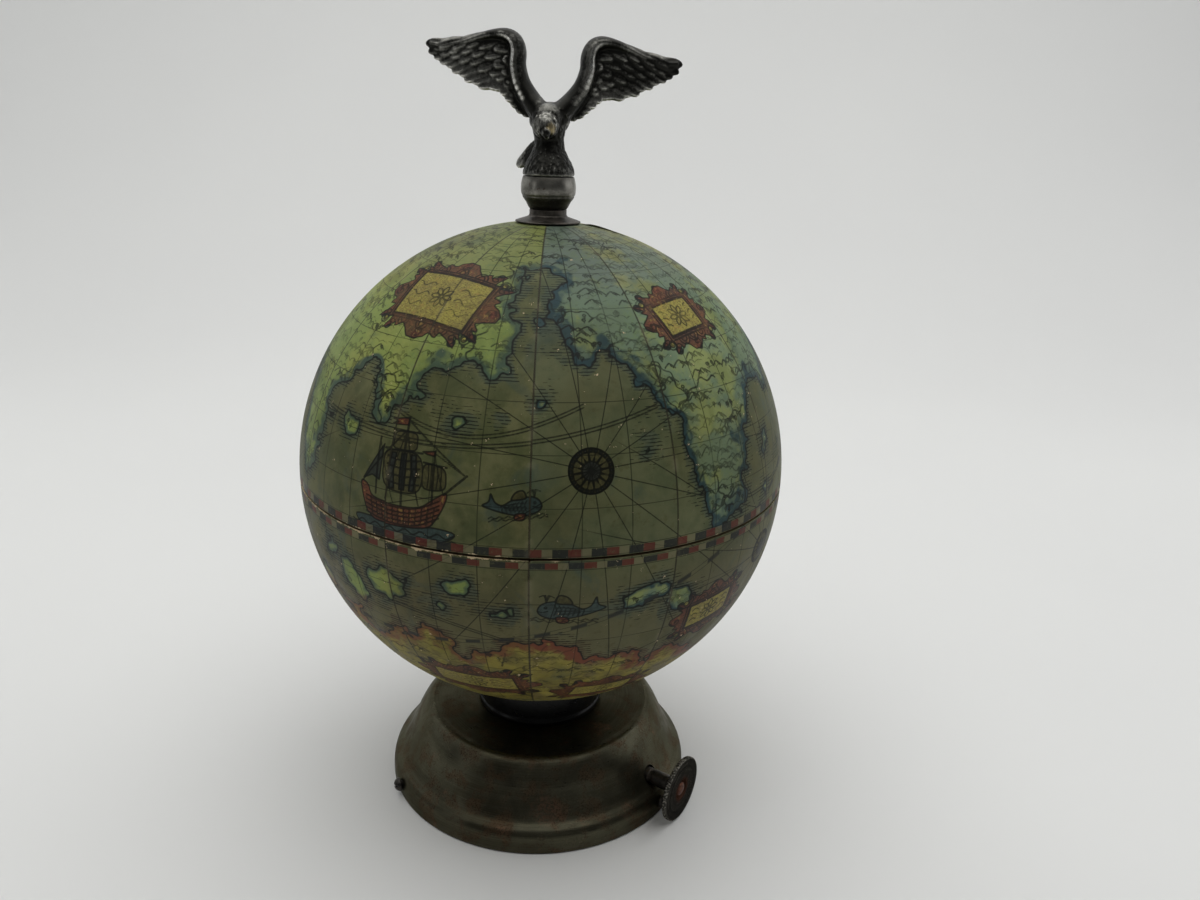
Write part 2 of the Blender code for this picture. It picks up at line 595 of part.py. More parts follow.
finial_backing = turned("finial_backing",
                        [(r, GLOBE_Z + math.sqrt(back_r ** 2 - r ** 2)) for r in (2.2, 7.0, 12.0)]
                        + [(12.0, 199.3), (2.2, 199.3)], WOOD, 20)

# ---- eagle -----------------------------------------------------------------
skirt_top = BALL_CUT + RUN
eagle = turned("eagle", [(0, 236.0), (3.4, 235.0), (4.6, 232.6), (4.7, 229.6), (5.4, 226.6), (7.0, 223.6),
                         (8.3, 221.2), (8.5, skirt_top), (1.7, skirt_top), (1.7, 215.6), (0, 215.4)],
               SILVER, 16, closed=False)
shoulders = egg("shoulders_tool", (0, 0.8, 236.6), (6.2, 4.6, 5.2), None)
combine(eagle, shoulders, "UNION")
head = egg("head_tool", (0, -4.9, 234.0), (3.8, 4.9, 3.7), None, turn=(math.radians(28), 0, 0))
combine(eagle, head, "UNION")
beak = tube("beak_tool", [(0, -7.6, 233.0), (0, -10.0, 231.6), (0, -10.6, 229.4)], [2.0, 1.3, 0.3], None)
combine(eagle, beak, "UNION")
tail = plate("tail_tool", [[(-2.6, 0), (2.6, 0), (4.2, -11.0), (1.4, -12.0), (-1.4, -12.0), (-4.2, -11.0)]],
             -0.9, 0.9, None, tools)
tail.rotation_euler = (math.radians(52), 0, math.radians(150))
tail.location = Vector((-0.5, 2.4, 230.6)) * MM
combine(eagle, tail, "UNION")

# one wing: bent leading arm, scalloped trailing edge
ARM = [(1.5, 240.0), (4.6, 243.2), (7.0, 247.4), (9.6, 251.8), (9.9, 256.0), (11.0, 259.4), (14.0, 260.9),
       (20.0, 260.4), (26.0, 258.4), (32.0, 256.4), (38.2, 255.9)]
ARM_R = [3.2, 2.6, 2.2, 2.0, 1.9, 1.9, 1.9, 1.6, 1.3, 1.0, 0.8]
TRAIL = [(39.6, 255.2), (34.0, 250.2), (27.0, 246.8), (20.0, 244.7), (14.8, 244.6), (11.4, 240.2), (5.4, 236.6)]


def wing(side):
    """Feather plate of a wing in the X-Z plane."""
    pts = [(x * side, z) for x, z in ARM[1:]]
    for (x0, z0), (x1, z1) in zip(TRAIL, TRAIL[1:]):
        n = max(1, round(math.hypot(x1 - x0, z1 - z0) / 3.4))
        for i in range(n):
            ax, az = x0 + (x1 - x0) * i / n, z0 + (z1 - z0) * i / n
            bx, bz = x0 + (x1 - x0) * (i + 1) / n, z0 + (z1 - z0) * (i + 1) / n
            nx, nz = bz - az, -(bx - ax)
            ln = math.hypot(nx, nz)
            out = -1.0 if nz > 0 else 1.0
            pts.append((ax * side, az))
            pts.append(((ax + bx) / 2 * side + out * nx / ln * 0.7 * side, (az + bz) / 2 + out * nz / ln * 0.7))
    pts.append((TRAIL[-1][0] * side, TRAIL[-1][1]))
    return pts


eagle_centre = Vector((0, 0.8, 238.0))
for side, tag in ((-1, "left"), (1, "right")):
    feathers = plate(f"wing_{tag}_tool", [wing(side)], -0.9, 0.9, None, tools)
    feathers.data.transform(Matrix.Rotation(math.pi / 2, 4, "X"))
    arm = tube(f"wing_arm_{tag}_tool", [(x * side, 0, z) for x, z in ARM], ARM_R, None)
    for o in (feathers, arm):
        o.data.transform(Matrix.Translation(Vector((0, 0.8, 0)) * MM))
        o.data.transform(Matrix.Translation(eagle_centre * MM) @ Matrix.Rotation(BANK, 4, "Y")
                         @ Matrix.Rotation(math.radians(8 * side), 4, "Z")
                         @ Matrix.Translation(-eagle_centre * MM))
        combine(eagle, o, "UNION")

# ---- which piece hangs on which joint ----------------------------------------
under(base_frame, base_shell, base_plate, felt_pad, swivel_collar, pivot_stud, pivot_washer, pivot_nut)
for o in (globe_lower, pivot_boss, rim_ring, tray_floor, tray_deck, decanter_socket, leaf_lower, hinge_pin):
    under(globe_axis, o, world=True)
for o in (globe_upper, finial_flange, finial_ball, finial_screw, finial_backing, eagle, leaf_upper):
    under(lid_axis, o, world=True)
for name, rv in rivets:
    under(globe_axis if name == "lower" else lid_axis, rv, world=True)
for g in glass_objs:
    under(globe_axis, g, world=True)
bpy.context.view_layer.update()
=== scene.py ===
import json
import math

import bmesh
import bpy
import numpy as np
from mathutils import Matrix, Vector, kdtree, noise


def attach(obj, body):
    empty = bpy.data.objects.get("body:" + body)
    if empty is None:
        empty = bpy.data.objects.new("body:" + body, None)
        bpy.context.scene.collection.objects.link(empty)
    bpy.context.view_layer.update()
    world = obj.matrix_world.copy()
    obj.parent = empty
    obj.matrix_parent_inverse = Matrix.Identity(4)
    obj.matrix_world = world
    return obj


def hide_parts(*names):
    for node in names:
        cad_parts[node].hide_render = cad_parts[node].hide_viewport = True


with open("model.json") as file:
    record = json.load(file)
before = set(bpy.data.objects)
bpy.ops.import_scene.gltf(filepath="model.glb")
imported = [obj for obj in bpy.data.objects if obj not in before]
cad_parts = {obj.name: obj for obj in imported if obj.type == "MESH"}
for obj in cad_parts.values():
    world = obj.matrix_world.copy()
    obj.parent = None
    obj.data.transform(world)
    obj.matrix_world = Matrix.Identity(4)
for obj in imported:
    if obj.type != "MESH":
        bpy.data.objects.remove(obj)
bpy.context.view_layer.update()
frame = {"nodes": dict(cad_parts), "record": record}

NODES = frame["nodes"]
MM = 0.001
SCENE = bpy.context.scene

# driving sizes, the same as the frame's, in millimetres
GLOBE_R, GLOBE_Z = 82.5, 122.5
SEAM = 0.8
PAPER_T, BOARD_IN = 0.25, 80.0
SHAFT_AZ, SHAFT_OFF, SHAFT_Z = math.radians(-33.0), 0.0, 12.2


# ---------------------------------------------------------------------------
# mesh helpers
# ---------------------------------------------------------------------------
def new_object(name, mesh, mat, body, replaces=()):
    ob = bpy.data.objects.new(name, mesh)
    SCENE.collection.objects.link(ob)
    if mat is not None:
        mesh.materials.clear()
        mesh.materials.append(mat)
    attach(ob, body)
    if replaces:
        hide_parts(*replaces)
    return ob


def mesh_from(name, co, quads=None, tris=None):
    """A mesh from numpy arrays, with points in millimetres."""
    me = bpy.data.meshes.new(name)
    quads = np.zeros((0, 4), np.int64) if quads is None else np.asarray(quads, np.int64)
    tris = np.zeros((0, 3), np.int64) if tris is None else np.asarray(tris, np.int64)
    me.vertices.add(len(co))
    me.vertices.foreach_set("co", (np.asarray(co, float) * MM).astype(np.float32).ravel())
    corners = np.concatenate([quads.ravel(), tris.ravel()]).astype(np.int32)
    starts = np.concatenate([np.arange(len(quads)) * 4,
                             len(quads) * 4 + np.arange(len(tris)) * 3]).astype(np.int32)
    me.loops.add(len(corners))
    me.polygons.add(len(quads) + len(tris))
    me.polygons.foreach_set("loop_start", starts)
    me.loops.foreach_set("vertex_index", corners)
    me.update(calc_edges=True)
    me.validate()
    me.shade_smooth()
    return me


def point_attribute(me, name, values):
    a = me.attributes.new(name, "FLOAT", "POINT")
    a.data.foreach_set("value", np.asarray(values, np.float32))


def rounded(points, radius, steps=4):
    """Rounds the corners of an open or closed run of (r, z) points. radius is one value or one per point."""
    pts = [np.array(p, float) for p in points]
    rad = [radius] * len(pts) if np.isscalar(radius) else list(radius)
    out = []
    for i, p in enumerate(pts):
        if i in (0, len(pts) - 1) or rad[i] <= 0:
            out.append(p)
            continue
        a, b = pts[i - 1] - p, pts[i + 1] - p
        la, lb = np.linalg.norm(a), np.linalg.norm(b)
        cut = min(rad[i], 0.45 * la, 0.45 * lb)
        p0, p2 = p + a / la * cut, p + b / lb * cut
        for k in range(steps + 1):
            t = k / steps
            out.append((1 - t) ** 2 * p0 + 2 * t * (1 - t) * p + t * t * p2)
    return [tuple(p) for p in out]


def spline(points, steps=4, sharp=()):
    """A Catmull-Rom run through (r, z) points, kept sharp at the numbered ones."""
    pts = [np.array(p, float) for p in points]
    n, out = len(pts), []
    for i in range(n - 1):
        p1, p2 = pts[i], pts[i + 1]
        p0 = 2 * p1 - p2 if i == 0 or i in sharp else pts[i - 1]
        p3 = 2 * p2 - p1 if i + 2 >= n or (i + 1) in sharp else pts[i + 2]
        for k in range(steps):
            t = k / steps
            out.append(0.5 * (2 * p1 + (p2 - p0) * t + (2 * p0 - 5 * p1 + 4 * p2 - p3) * t * t
                              + (3 * p1 - p0 - 3 * p2 + p3) * t ** 3))
    out.append(pts[-1])
    return [tuple(p) for p in out]


def lathe_arrays(profile, steps, closed=False):
    """Points, quads and triangles of a profile turned about Z. A profile starts and ends on the axis, or is a closed ring.
    Also an 'edge' value per point: how strongly the profile turns outwards there."""
    prof = [tuple(p) for p in profile]
    clean = [prof[0]]
    for p in prof[1:]:
        if math.hypot(p[0] - clean[-1][0], p[1] - clean[-1][1]) > 1e-4:
            clean.append(p)
    if closed and math.hypot(clean[0][0] - clean[-1][0], clean[0][1] - clean[-1][1]) < 1e-4:
        clean.pop()
    pr = np.array(clean, float)
    n = len(pr)
    area = 0.5 * np.sum(pr[:, 0] * np.roll(pr[:, 1], -1) - np.roll(pr[:, 0], -1) * pr[:, 1])
    before, after = pr - np.roll(pr, 1, 0), np.roll(pr, -1, 0) - pr
    turn = np.arctan2(before[:, 0] * after[:, 1] - before[:, 1] * after[:, 0],
                      (before * after).sum(1)) * np.sign(area)
    ds = 0.5 * (np.linalg.norm(before, axis=1) + np.linalg.norm(after, axis=1)) + 1e-6
    bend = np.clip(turn / np.maximum(ds, 0.15), -2, 2)
    if not closed:
        bend[pr[:, 0] < 1e-6] = 0
    ang = np.arange(steps) / steps * 2 * math.pi
    cs, sn = np.cos(ang), np.sin(ang)
    co, edge, rows = [], [], []
    for i, (r, z) in enumerate(pr):
        if r < 1e-6:
            rows.append(np.full(steps, sum(len(c) for c in co)))
            co.append(np.array([[0, 0, z]]))
            edge.append([bend[i]])
        else:
            start = sum(len(c) for c in co)
            rows.append(start + np.arange(steps))
            co.append(np.c_[r * cs, r * sn, np.full(steps, z)])
            edge.append(np.full(steps, bend[i]))
    quads, tris = [], []
    last = n if closed else n - 1
    for i in range(last):
        a, b = rows[i], rows[(i + 1) % n]
        a2, b2 = np.roll(a, -1), np.roll(b, -1)
        if a[0] == a[-1] and b[0] == b[-1]:
            continue
        if a[0] == a[-1]:
            tris.append(np.c_[a, b, b2])
        elif b[0] == b[-1]:
            tris.append(np.c_[a, b, a2])
        else:
            quads.append(np.c_[a, b, b2, a2])
    quads = np.concatenate(quads) if quads else np.zeros((0, 4), int)
    tris = np.concatenate(tris) if tris else np.zeros((0, 3), int)
    if area > 0:
        quads, tris = quads[:, ::-1], tris[:, ::-1]
    return np.concatenate(co), quads, tris, np.concatenate(edge)


def lathe(name, profile, mat, body, steps=160, closed=False, place=None, replaces=(), sharp=40):
    co, quads, tris, edge = lathe_arrays(profile, steps, closed)
    if place is not None:
        m = np.array(place, float)
        co = co @ m[:3, :3].T + m[:3, 3]
    me = mesh_from(name, co, quads, tris)
    point_attribute(me, "edge", edge)
    me.set_sharp_from_angle(angle=math.radians(sharp))
    return new_object(name, me, mat, body, replaces)


def along(axis, origin):
    """The placement that turns the local Z axis to axis, at origin, in millimetres."""
    q = Vector(axis).normalized().to_track_quat("Z", "Y").to_matrix().to_4x4()
    q.translation = Vector(origin)
    return q


def cut_with(ob, cutters, solver="EXACT"):
    """Cuts a piece by throwaway meshes, and keeps only the result."""
    for c in cutters:
        mod = ob.modifiers.new("cut", "BOOLEAN")
        mod.operation, mod.solver, mod.object = "DIFFERENCE", solver, c
    bpy.context.view_layer.update()
    dg = bpy.context.evaluated_depsgraph_get()
    me = bpy.data.meshes.new_from_object(ob.evaluated_get(dg))
    ob.modifiers.clear()
    old = ob.data
    ob.data = me
    bpy.data.meshes.remove(old)
    for c in cutters:
        bpy.data.objects.remove(c)


def cutter(profile, steps, place):
    co, quads, tris, _ = lathe_arrays(profile, steps)
    m = np.array(place, float)
    me = mesh_from("cutter", co @ m[:3, :3].T + m[:3, 3], quads, tris)
    ob = bpy.data.objects.new("cutter", me)
    SCENE.collection.objects.link(ob)
    return ob


def box_cutter(size, place):
    sx, sy, sz = (s / 2 for s in size)
    co = np.array([[x, y, z] for x in (-sx, sx) for y in (-sy, sy) for z in (-sz, sz)])
    quads = [[0, 1, 3, 2], [4, 6, 7, 5], [0, 4, 5, 1], [2, 3, 7, 6], [0, 2, 6, 4], [1, 5, 7, 3]]
    m = np.array(place, float)
    me = mesh_from("cutter", co @ m[:3, :3].T + m[:3, 3], quads)
    ob = bpy.data.objects.new("cutter", me)
    SCENE.collection.objects.link(ob)
    return ob


# ---------------------------------------------------------------------------
# shader node helpers: V wraps an output socket so that nodes read as sums
# ---------------------------------------------------------------------------
class V:
    def __init__(self, g, s):
        self.g, self.s = g, s

    def __add__(self, o): return self.g.math("ADD", self, o)
    def __radd__(self, o): return self.g.math("ADD", o, self)
    def __sub__(self, o): return self.g.math("SUBTRACT", self, o)
    def __rsub__(self, o): return self.g.math("SUBTRACT", o, self)
    def __mul__(self, o): return self.g.math("MULTIPLY", self, o)
    def __rmul__(self, o): return self.g.math("MULTIPLY", o, self)
    def __truediv__(self, o): return self.g.math("DIVIDE", self, o)
    def __rtruediv__(self, o): return self.g.math("DIVIDE", o, self)


class Graph:
    def __init__(self, name):
        self.mat = bpy.data.materials.new(name)
        self.mat.use_nodes = True
        self.nt = self.mat.node_tree
        self.nt.nodes.clear()
        out = self.nt.nodes.new("ShaderNodeOutputMaterial")
        self.bsdf = self.nt.nodes.new("ShaderNodeBsdfPrincipled")
        self.nt.links.new(self.bsdf.outputs[0], out.inputs[0])

    def node(self, kind, **props):
        n = self.nt.nodes.new(kind)
        for k, v in props.items():
            setattr(n, k, v)
        return n

    def put(self, value, socket):
        if isinstance(value, V):
            self.nt.links.new(value.s, socket)
        elif socket.type == "RGBA" and len(value) == 3:
            socket.default_value = (*value, 1.0)
        else:
            socket.default_value = value

    def math(self, op, a, b=None, c=None, clamp=False):
        n = self.node("ShaderNodeMath", operation=op, use_clamp=clamp)
        for i, v in enumerate((a, b, c)):
            if v is not None:
                self.put(v, n.inputs[i])
        return V(self, n.outputs[0])

    def vmath(self, op, a, b=None):
        n = self.node("ShaderNodeVectorMath", operation=op)
        self.put(a, n.inputs[0])
        if b is not None:
            self.put(b, n.inputs[3] if op == "SCALE" else n.inputs[1])
        return V(self, n.outputs[1] if op in ("LENGTH", "DOT_PRODUCT", "DISTANCE") else n.outputs[0])

    def coords(self):
        """Object coordinates in millimetres."""
        n = self.node("ShaderNodeTexCoord")
        return self.vmath("SCALE", V(self, n.outputs["Object"]), 1000.0)

    def split(self, v):
        n = self.node("ShaderNodeSeparateXYZ")
        self.put(v, n.inputs[0])
        return [V(self, n.outputs[i]) for i in range(3)]

    def join(self, x, y, z):
        n = self.node("ShaderNodeCombineXYZ")
        for i, v in enumerate((x, y, z)):
            self.put(v, n.inputs[i])
        return V(self, n.outputs[0])

    def noise(self, vec, scale, detail=3.0, rough=0.55, distort=0.0):
        n = self.node("ShaderNodeTexNoise")
        self.put(vec, n.inputs["Vector"])
        n.inputs["Scale"].default_value = scale
        n.inputs["Detail"].default_value = detail
        n.inputs["Roughness"].default_value = rough
        n.inputs["Distortion"].default_value = distort
        return V(self, n.outputs[0])

    def voronoi(self, vec, scale, feature="F1", out=0, randomness=1.0):
        n = self.node("ShaderNodeTexVoronoi", feature=feature)
        self.put(vec, n.inputs["Vector"])
        n.inputs["Scale"].default_value = scale
        n.inputs["Randomness"].default_value = randomness
        return V(self, n.outputs[out])

    def white(self, v):
        n = self.node("ShaderNodeTexWhiteNoise", noise_dimensions="1D")
        self.put(v, n.inputs["W"])
        return V(self, n.outputs[0])

    def attr(self, name):
        n = self.node("ShaderNodeAttribute", attribute_name=name)
        return V(self, n.outputs["Fac"])

    def step(self, v, lo, hi, a=0.0, b=1.0, smooth=True):
        """a below lo, b above hi, eased between; lo may be above hi."""
        n = self.node("ShaderNodeMapRange", interpolation_type="SMOOTHSTEP" if smooth else "LINEAR", clamp=True)
        if not isinstance(lo, V) and not isinstance(hi, V) and lo > hi:
            lo, hi, a, b = hi, lo, b, a
        for i, x in enumerate((v, lo, hi, a, b)):
            self.put(x, n.inputs[i])
        return V(self, n.outputs[0])

    def mix(self, f, a, b, blend="MIX"):
        n = self.node("ShaderNodeMix", data_type="RGBA", blend_type=blend, clamp_factor=True)
        self.put(f, n.inputs[0])
        self.put(a, n.inputs[6])
        self.put(b, n.inputs[7])
        return V(self, n.outputs[2])

    def lerp(self, f, a, b):
        n = self.node("ShaderNodeMix", data_type="FLOAT", clamp_factor=True)
        for i, x in ((0, f), (2, a), (3, b)):
            self.put(x, n.inputs[i])
        return V(self, n.outputs[0])

    def abs(self, v): return self.math("ABSOLUTE", v)
    def min(self, a, b): return self.math("MINIMUM", a, b)
    def max(self, a, b): return self.math("MAXIMUM", a, b)
    def sin(self, v): return self.math("SINE", v)
    def fract(self, v): return self.math("FRACT", v)
    def floor(self, v): return self.math("FLOOR", v)

    def bump(self, height, strength=0.3, distance=0.0002):
        n = self.node("ShaderNodeBump")
        n.inputs["Strength"].default_value = strength
        n.inputs["Distance"].default_value = distance
        self.put(height, n.inputs["Height"])
        return V(self, n.outputs[0])

    def set(self, **values):
        names = dict(color="Base Color", metal="Metallic", rough="Roughness", normal="Normal", spec="Specular IOR Level",
                     coat="Coat Weight", coat_rough="Coat Roughness", ior="IOR", trans="Transmission Weight",
                     aniso="Anisotropic", sheen="Sheen Weight", alpha="Alpha")
        for k, v in values.items():
            self.put(v, self.bsdf.inputs[names[k]])
        return self.mat


def polar(g, p):
    """Angle about Z and radius of a point given in millimetres from the axis."""
    x, y, z = g.split(p)
    return g.math("ARCTAN2", y, x), g.math("SQRT", x * x + y * y), z


# ---------------------------------------------------------------------------
# materials
# ---------------------------------------------------------------------------
def mat_pewter():
    """Dark olive-bronze spun metal: turning marks round the axis, brown speckle, brighter worn edges."""
    g = Graph("aged_spun_metal")
    p = g.coords()
    ang, r, z = polar(g, p)
    ring = g.noise(g.join(r * 2.2, z * 2.2, ang * 1.3), 1.0, 3, 0.6)
    broad = g.noise(p, 0.045, 3, 0.5)
    blot = g.noise(p, 0.16, 5, 0.62, 0.4)
    speck = g.noise(p, 1.1, 3, 0.7)
    fine = g.noise(p, 3.0, 2, 0.6)
    base = g.mix(g.step(broad, 0.35, 0.68), (0.052, 0.047, 0.029), (0.086, 0.082, 0.054))
    base = g.mix(g.step(ring, 0.4, 0.72, 0, 0.30), base, (0.120, 0.117, 0.088))
    # brown bloom, copper patches and speckle where the finish has worn through
    zone = g.step(blot, 0.48, 0.64)
    base = g.mix(zone * 0.45, base, (0.082, 0.043, 0.022))
    patch = g.step(g.noise(p, 0.075, 4, 0.6, 0.3), 0.56, 0.70)
    base = g.mix(patch * g.step(speck, 0.40, 0.56) * 0.55, base, (0.190, 0.105, 0.066))
    pepper = g.noise(p, 1.9, 3, 0.7)
    base = g.mix(g.step(pepper, 0.53, 0.60) * g.step(blot, 0.42, 0.60) * 0.75, base, (0.030, 0.017, 0.009))
    base = g.mix(g.step(pepper, 0.40, 0.33) * g.step(broad, 0.42, 0.6) * 0.45, base, (0.195, 0.165, 0.110))
    edge = g.step(g.attr("edge") + (fine - 0.5) * 0.7, 0.22, 0.75)
    base = g.mix(edge * 0.25, base, (0.16, 0.150, 0.105))
    grime = g.step(g.attr("edge") + (fine - 0.5) * 0.4, -0.10, -0.6)
    base = g.mix(grime * 0.45, base, (0.02, 0.018, 0.012))
    rough = g.step(blot, 0.3, 0.7, 0.28, 0.44) + (ring - 0.5) * 0.12 - edge * 0.06
    n = g.bump(ring * 0.5 + speck * 0.6 + fine * 0.25, 0.25, 0.00012)
    g.bsdf.inputs["Specular Tint"].default_value = (0.55, 0.55, 0.50, 1.0)
    return g.set(color=base, rough=rough, normal=n, metal=0.88)


def mat_black_gloss():
    """Black lacquered collar with dust and faint rubbing marks."""
    g = Graph("black_gloss")
    p = g.coords()
    ang, r, z = polar(g, p)
    dust = g.step(g.noise(p, 2.2, 2, 0.6), 0.62, 0.74)
    rub_and_sheen = g.noise(g.join(ang * 3.0, z * 0.8, r * 0.8), 1.0, 3, 0.55)
    edge = g.step(g.attr("edge") + (rub_and_sheen - 0.5) * 0.8, 0.4, 1.0)
    col = g.mix(dust * 0.3, (0.0042, 0.0042, 0.0046), (0.022, 0.021, 0.019))
    col = g.mix(edge * 0.3, col, (0.026, 0.025, 0.023))
    rough = g.step(rub_and_sheen, 0.3, 0.7, 0.27, 0.31) + dust * 0.1
    return g.set(color=col, rough=rough, spec=0.22)


def mat_felt():
    g = Graph("green_felt")
    p = g.coords()
    fib = g.noise(p, 5.0, 4, 0.75, 1.5)
    tuft = g.noise(p, 0.5, 3, 0.6)
    col = g.mix(fib, (0.004, 0.018, 0.010), (0.022, 0.058, 0.032))
    col = g.mix(g.step(tuft, 0.5, 0.75, 0, 0.4), col, (0.03, 0.055, 0.035))
    return g.set(color=col, rough=0.95, normal=g.bump(fib, 0.8, 0.0005), sheen=0.25)


def mat_metal(name, light, dark, rough_lo, rough_hi, scale=1.0, metal=1.0, tarnish=(0.05, 0.04, 0.03), amount=0.4):
    """A worn metal: brushed grain, tarnish clouds and small pits."""
    g = Graph(name)
    p = g.coords()
    cloud = g.noise(p, 0.22 * scale, 4, 0.6)
    grain = g.noise(p, 2.8 * scale, 3, 0.65)
    pit = g.step(g.voronoi(p, 1.1 * scale), 0.16, 0.05)
    col = g.mix(g.step(cloud, 0.32, 0.66), dark, light)
    col = g.mix(g.step(cloud * 0.6 + grain * 0.4, 0.52, 0.66) * amount, col, tarnish)
    col = g.mix(pit * 0.5, col, tarnish)
    rough = g.step(grain * 0.5 + cloud * 0.5, 0.35, 0.65, rough_lo, rough_hi)
    return g.set(color=col, rough=rough, normal=g.bump(grain + pit * -0.6, 0.22, 0.00008), metal=metal)


def mat_disc(centre, axis):
    """Dark steel with concentric scratches, painted glints along the knurled rim and rust near the rivet."""
    g = Graph("scratched_steel")
    p = g.coords()
    q = g.vmath("SUBTRACT", p, tuple(centre))
    h = g.vmath("DOT_PRODUCT", q, tuple(axis))
    rad = g.math("SQRT", g.max(g.vmath("DOT_PRODUCT", q, q) - h * h, 0.0))
    cloud = g.noise(p, 0.35, 4, 0.65)
    ringn = g.noise(g.join(rad * 5.0, cloud * 0.6, h * 0.4), 1.0, 3, 0.7)
    nick = g.noise(p, 2.2, 3, 0.7)
    col = g.mix(g.step(ringn, 0.35, 0.7), (0.026, 0.025, 0.022), (0.078, 0.075, 0.066))
    col = g.mix(g.step(cloud, 0.45, 0.66, 0, 0.6), col, (0.026, 0.023, 0.020))
    # painted glints: bright points along the knurled rim where its teeth catch the light
    rim = g.step(rad, 11.10, 11.32) * g.step(g.noise(p, 1.5, 2, 0.6), 0.50, 0.58)
    col = g.mix(rim * 0.9, col, (0.42, 0.40, 0.35))
    rust = g.step(rad + (nick - 0.5) * 3.4 + (cloud - 0.5) * 3.0, 5.2, 3.6)
    col = g.mix(rust * 0.75, col, (0.075, 0.030, 0.017))
    rough = g.step(ringn, 0.3, 0.7, 0.40, 0.56) + rust * 0.2
    n = g.bump(ringn * 0.7 + nick * 0.5, 0.3, 0.00012)
    g.bsdf.inputs["Specular Tint"].default_value = (0.22, 0.20, 0.18, 1.0)
    return g.set(color=col, rough=rough, normal=n, metal=0.92)


def mat_ball():
    """Tarnished plate on the finial ball, with a painted highlight band round its middle."""
    g = Graph("silver_painted_highlight_band")
    p = g.coords()
    ang, r, z = polar(g, p)
    cloud = g.noise(p, 0.16, 4, 0.6)
    fine = g.noise(p, 1.3, 3, 0.65)
    streak = g.noise(g.join(ang * 2.0, z * 3.0, r), 1.0, 3, 0.6)
    level = z + (cloud - 0.5) * 7.0 + (fine - 0.5) * 1.6 + (streak - 0.5) * 1.2
    # painted highlight: a bright band round the middle of the ball
    band = g.step(level, 211.4, 216.2) * g.step(level, 220.6, 217.2)
    lift = band * 0.65 + (fine - 0.5) * 0.35 + (cloud - 0.5) * 0.4
    col = g.mix(g.step(lift, -0.1, 0.35), (0.034, 0.032, 0.027), (0.120, 0.115, 0.100))
    col = g.mix(g.step(lift, 0.30, 0.80), col, (0.280, 0.270, 0.240))
    rust = g.step(g.noise(p, 0.5, 3, 0.7), 0.60, 0.70)
    col = g.mix(rust * 0.65, col, (0.090, 0.045, 0.028))
    rough = g.step(lift, 0.0, 0.8, 0.46, 0.28)
    return g.set(color=col, rough=rough, normal=g.bump(fine * 0.6 + streak * 0.4, 0.2, 0.0001), metal=0.93)


def mat_copper():
    g = Graph("rusty_copper")
    p = g.coords()
    cloud = g.noise(p, 1.1, 4, 0.65)
    fine = g.noise(p, 4.0, 3, 0.7)
    col = g.mix(g.step(cloud, 0.38, 0.62), (0.050, 0.018, 0.011), (0.170, 0.070, 0.042))
    col = g.mix(g.step(fine, 0.56, 0.7, 0, 0.7), col, (0.05, 0.025, 0.018))
    return g.set(color=col, rough=g.step(cloud, 0.3, 0.7, 0.36, 0.6), normal=g.bump(fine, 0.3, 0.0001), metal=0.75)


def mat_cast_silver():
    """Antique silver plate: bright where rubbed and where highlights are painted, black in the hollows, darker where
    shade is painted. 'cavity' is below 0.5 in hollows, above on ridges.
    """
    g = Graph("antique_silver")
    p = g.coords()
    cav = g.attr("cavity")
    fine = g.noise(p, 1.6, 3, 0.65)
    cloud = g.noise(p, 0.18, 4, 0.6)
    dust = g.noise(p, 5.0, 2, 0.6)
    mott = g.noise(p, 0.62, 4, 0.7)
    speck = g.noise(p, 2.3, 3, 0.75)
    painted_shade = g.attr("painted_shade")
    # the rubbing value lifts rubbed places and painted highlights; the shade value darkens painted shade and mottles it
    lift = cav + (fine - 0.5) * 0.24 + (cloud - 0.5) * 0.25 + (mott - 0.5) * 0.34 + g.attr("rub_and_sheen") * 0.24 - painted_shade * 0.26 + g.max(painted_shade, 0.0) * (speck - 0.5) * 0.45 - 0.05
    col = g.mix(g.step(lift, 0.34, 0.52), (0.016, 0.016, 0.014), (0.125, 0.124, 0.112))
    col = g.mix(g.step(lift, 0.50, 0.68), col, (0.37, 0.365, 0.335))
    col = g.mix(g.step(lift, 0.66, 0.84), col, (0.74, 0.73, 0.69))
    col = g.mix(g.step(dust, 0.6, 0.75, 0, 0.22), col, (0.16, 0.14, 0.10))
    # a rubbed patch where the plate has gone and brass shows
    brass = g.step(g.attr("brass") + (fine - 0.5) * 0.7, 0.35, 0.75)
    col = g.mix(brass * 0.62, col, (0.44, 0.355, 0.185))
    rough = g.step(lift, 0.4, 0.8, 0.40, 0.22) + (fine - 0.5) * 0.12
    return g.set(color=col, rough=rough, normal=g.bump(fine * 0.7 + dust * 0.4, 0.25, 0.00012), metal=0.93)


def mat_board(name, light, dark, fleck=(0.25, 0.2, 0.13)):
    """Pressed board or lining paper: fibres, flecks, stains and painted shade at the joint."""
    g = Graph(name)
    p = g.coords()
    fib = g.noise(p, 3.0, 4, 0.7, 0.8)
    stain = g.noise(p, 0.07, 4, 0.55)
    col = g.mix(fib, dark, light)
    col = g.mix(g.step(g.noise(p, 1.6, 3, 0.7), 0.62, 0.72, 0, 0.6), col, fleck)
    # painted shade: the rims at the joint are darkened where the gap between the halves lies in shadow
    rim = g.abs(g.split(p)[2] - GLOBE_Z)
    col = g.mix(g.step(rim + (fib - 0.5) * 0.4, 1.3, 0.7) * 0.85, col, (0.16, 0.13, 0.10), "MULTIPLY")
    col = g.mix(g.step(stain, 0.5, 0.72, 0, 0.45), col, tuple(0.55 * c for c in dark))
    return g.set(color=col, rough=0.82, normal=g.bump(fib, 0.4, 0.00015), spec=0.3)


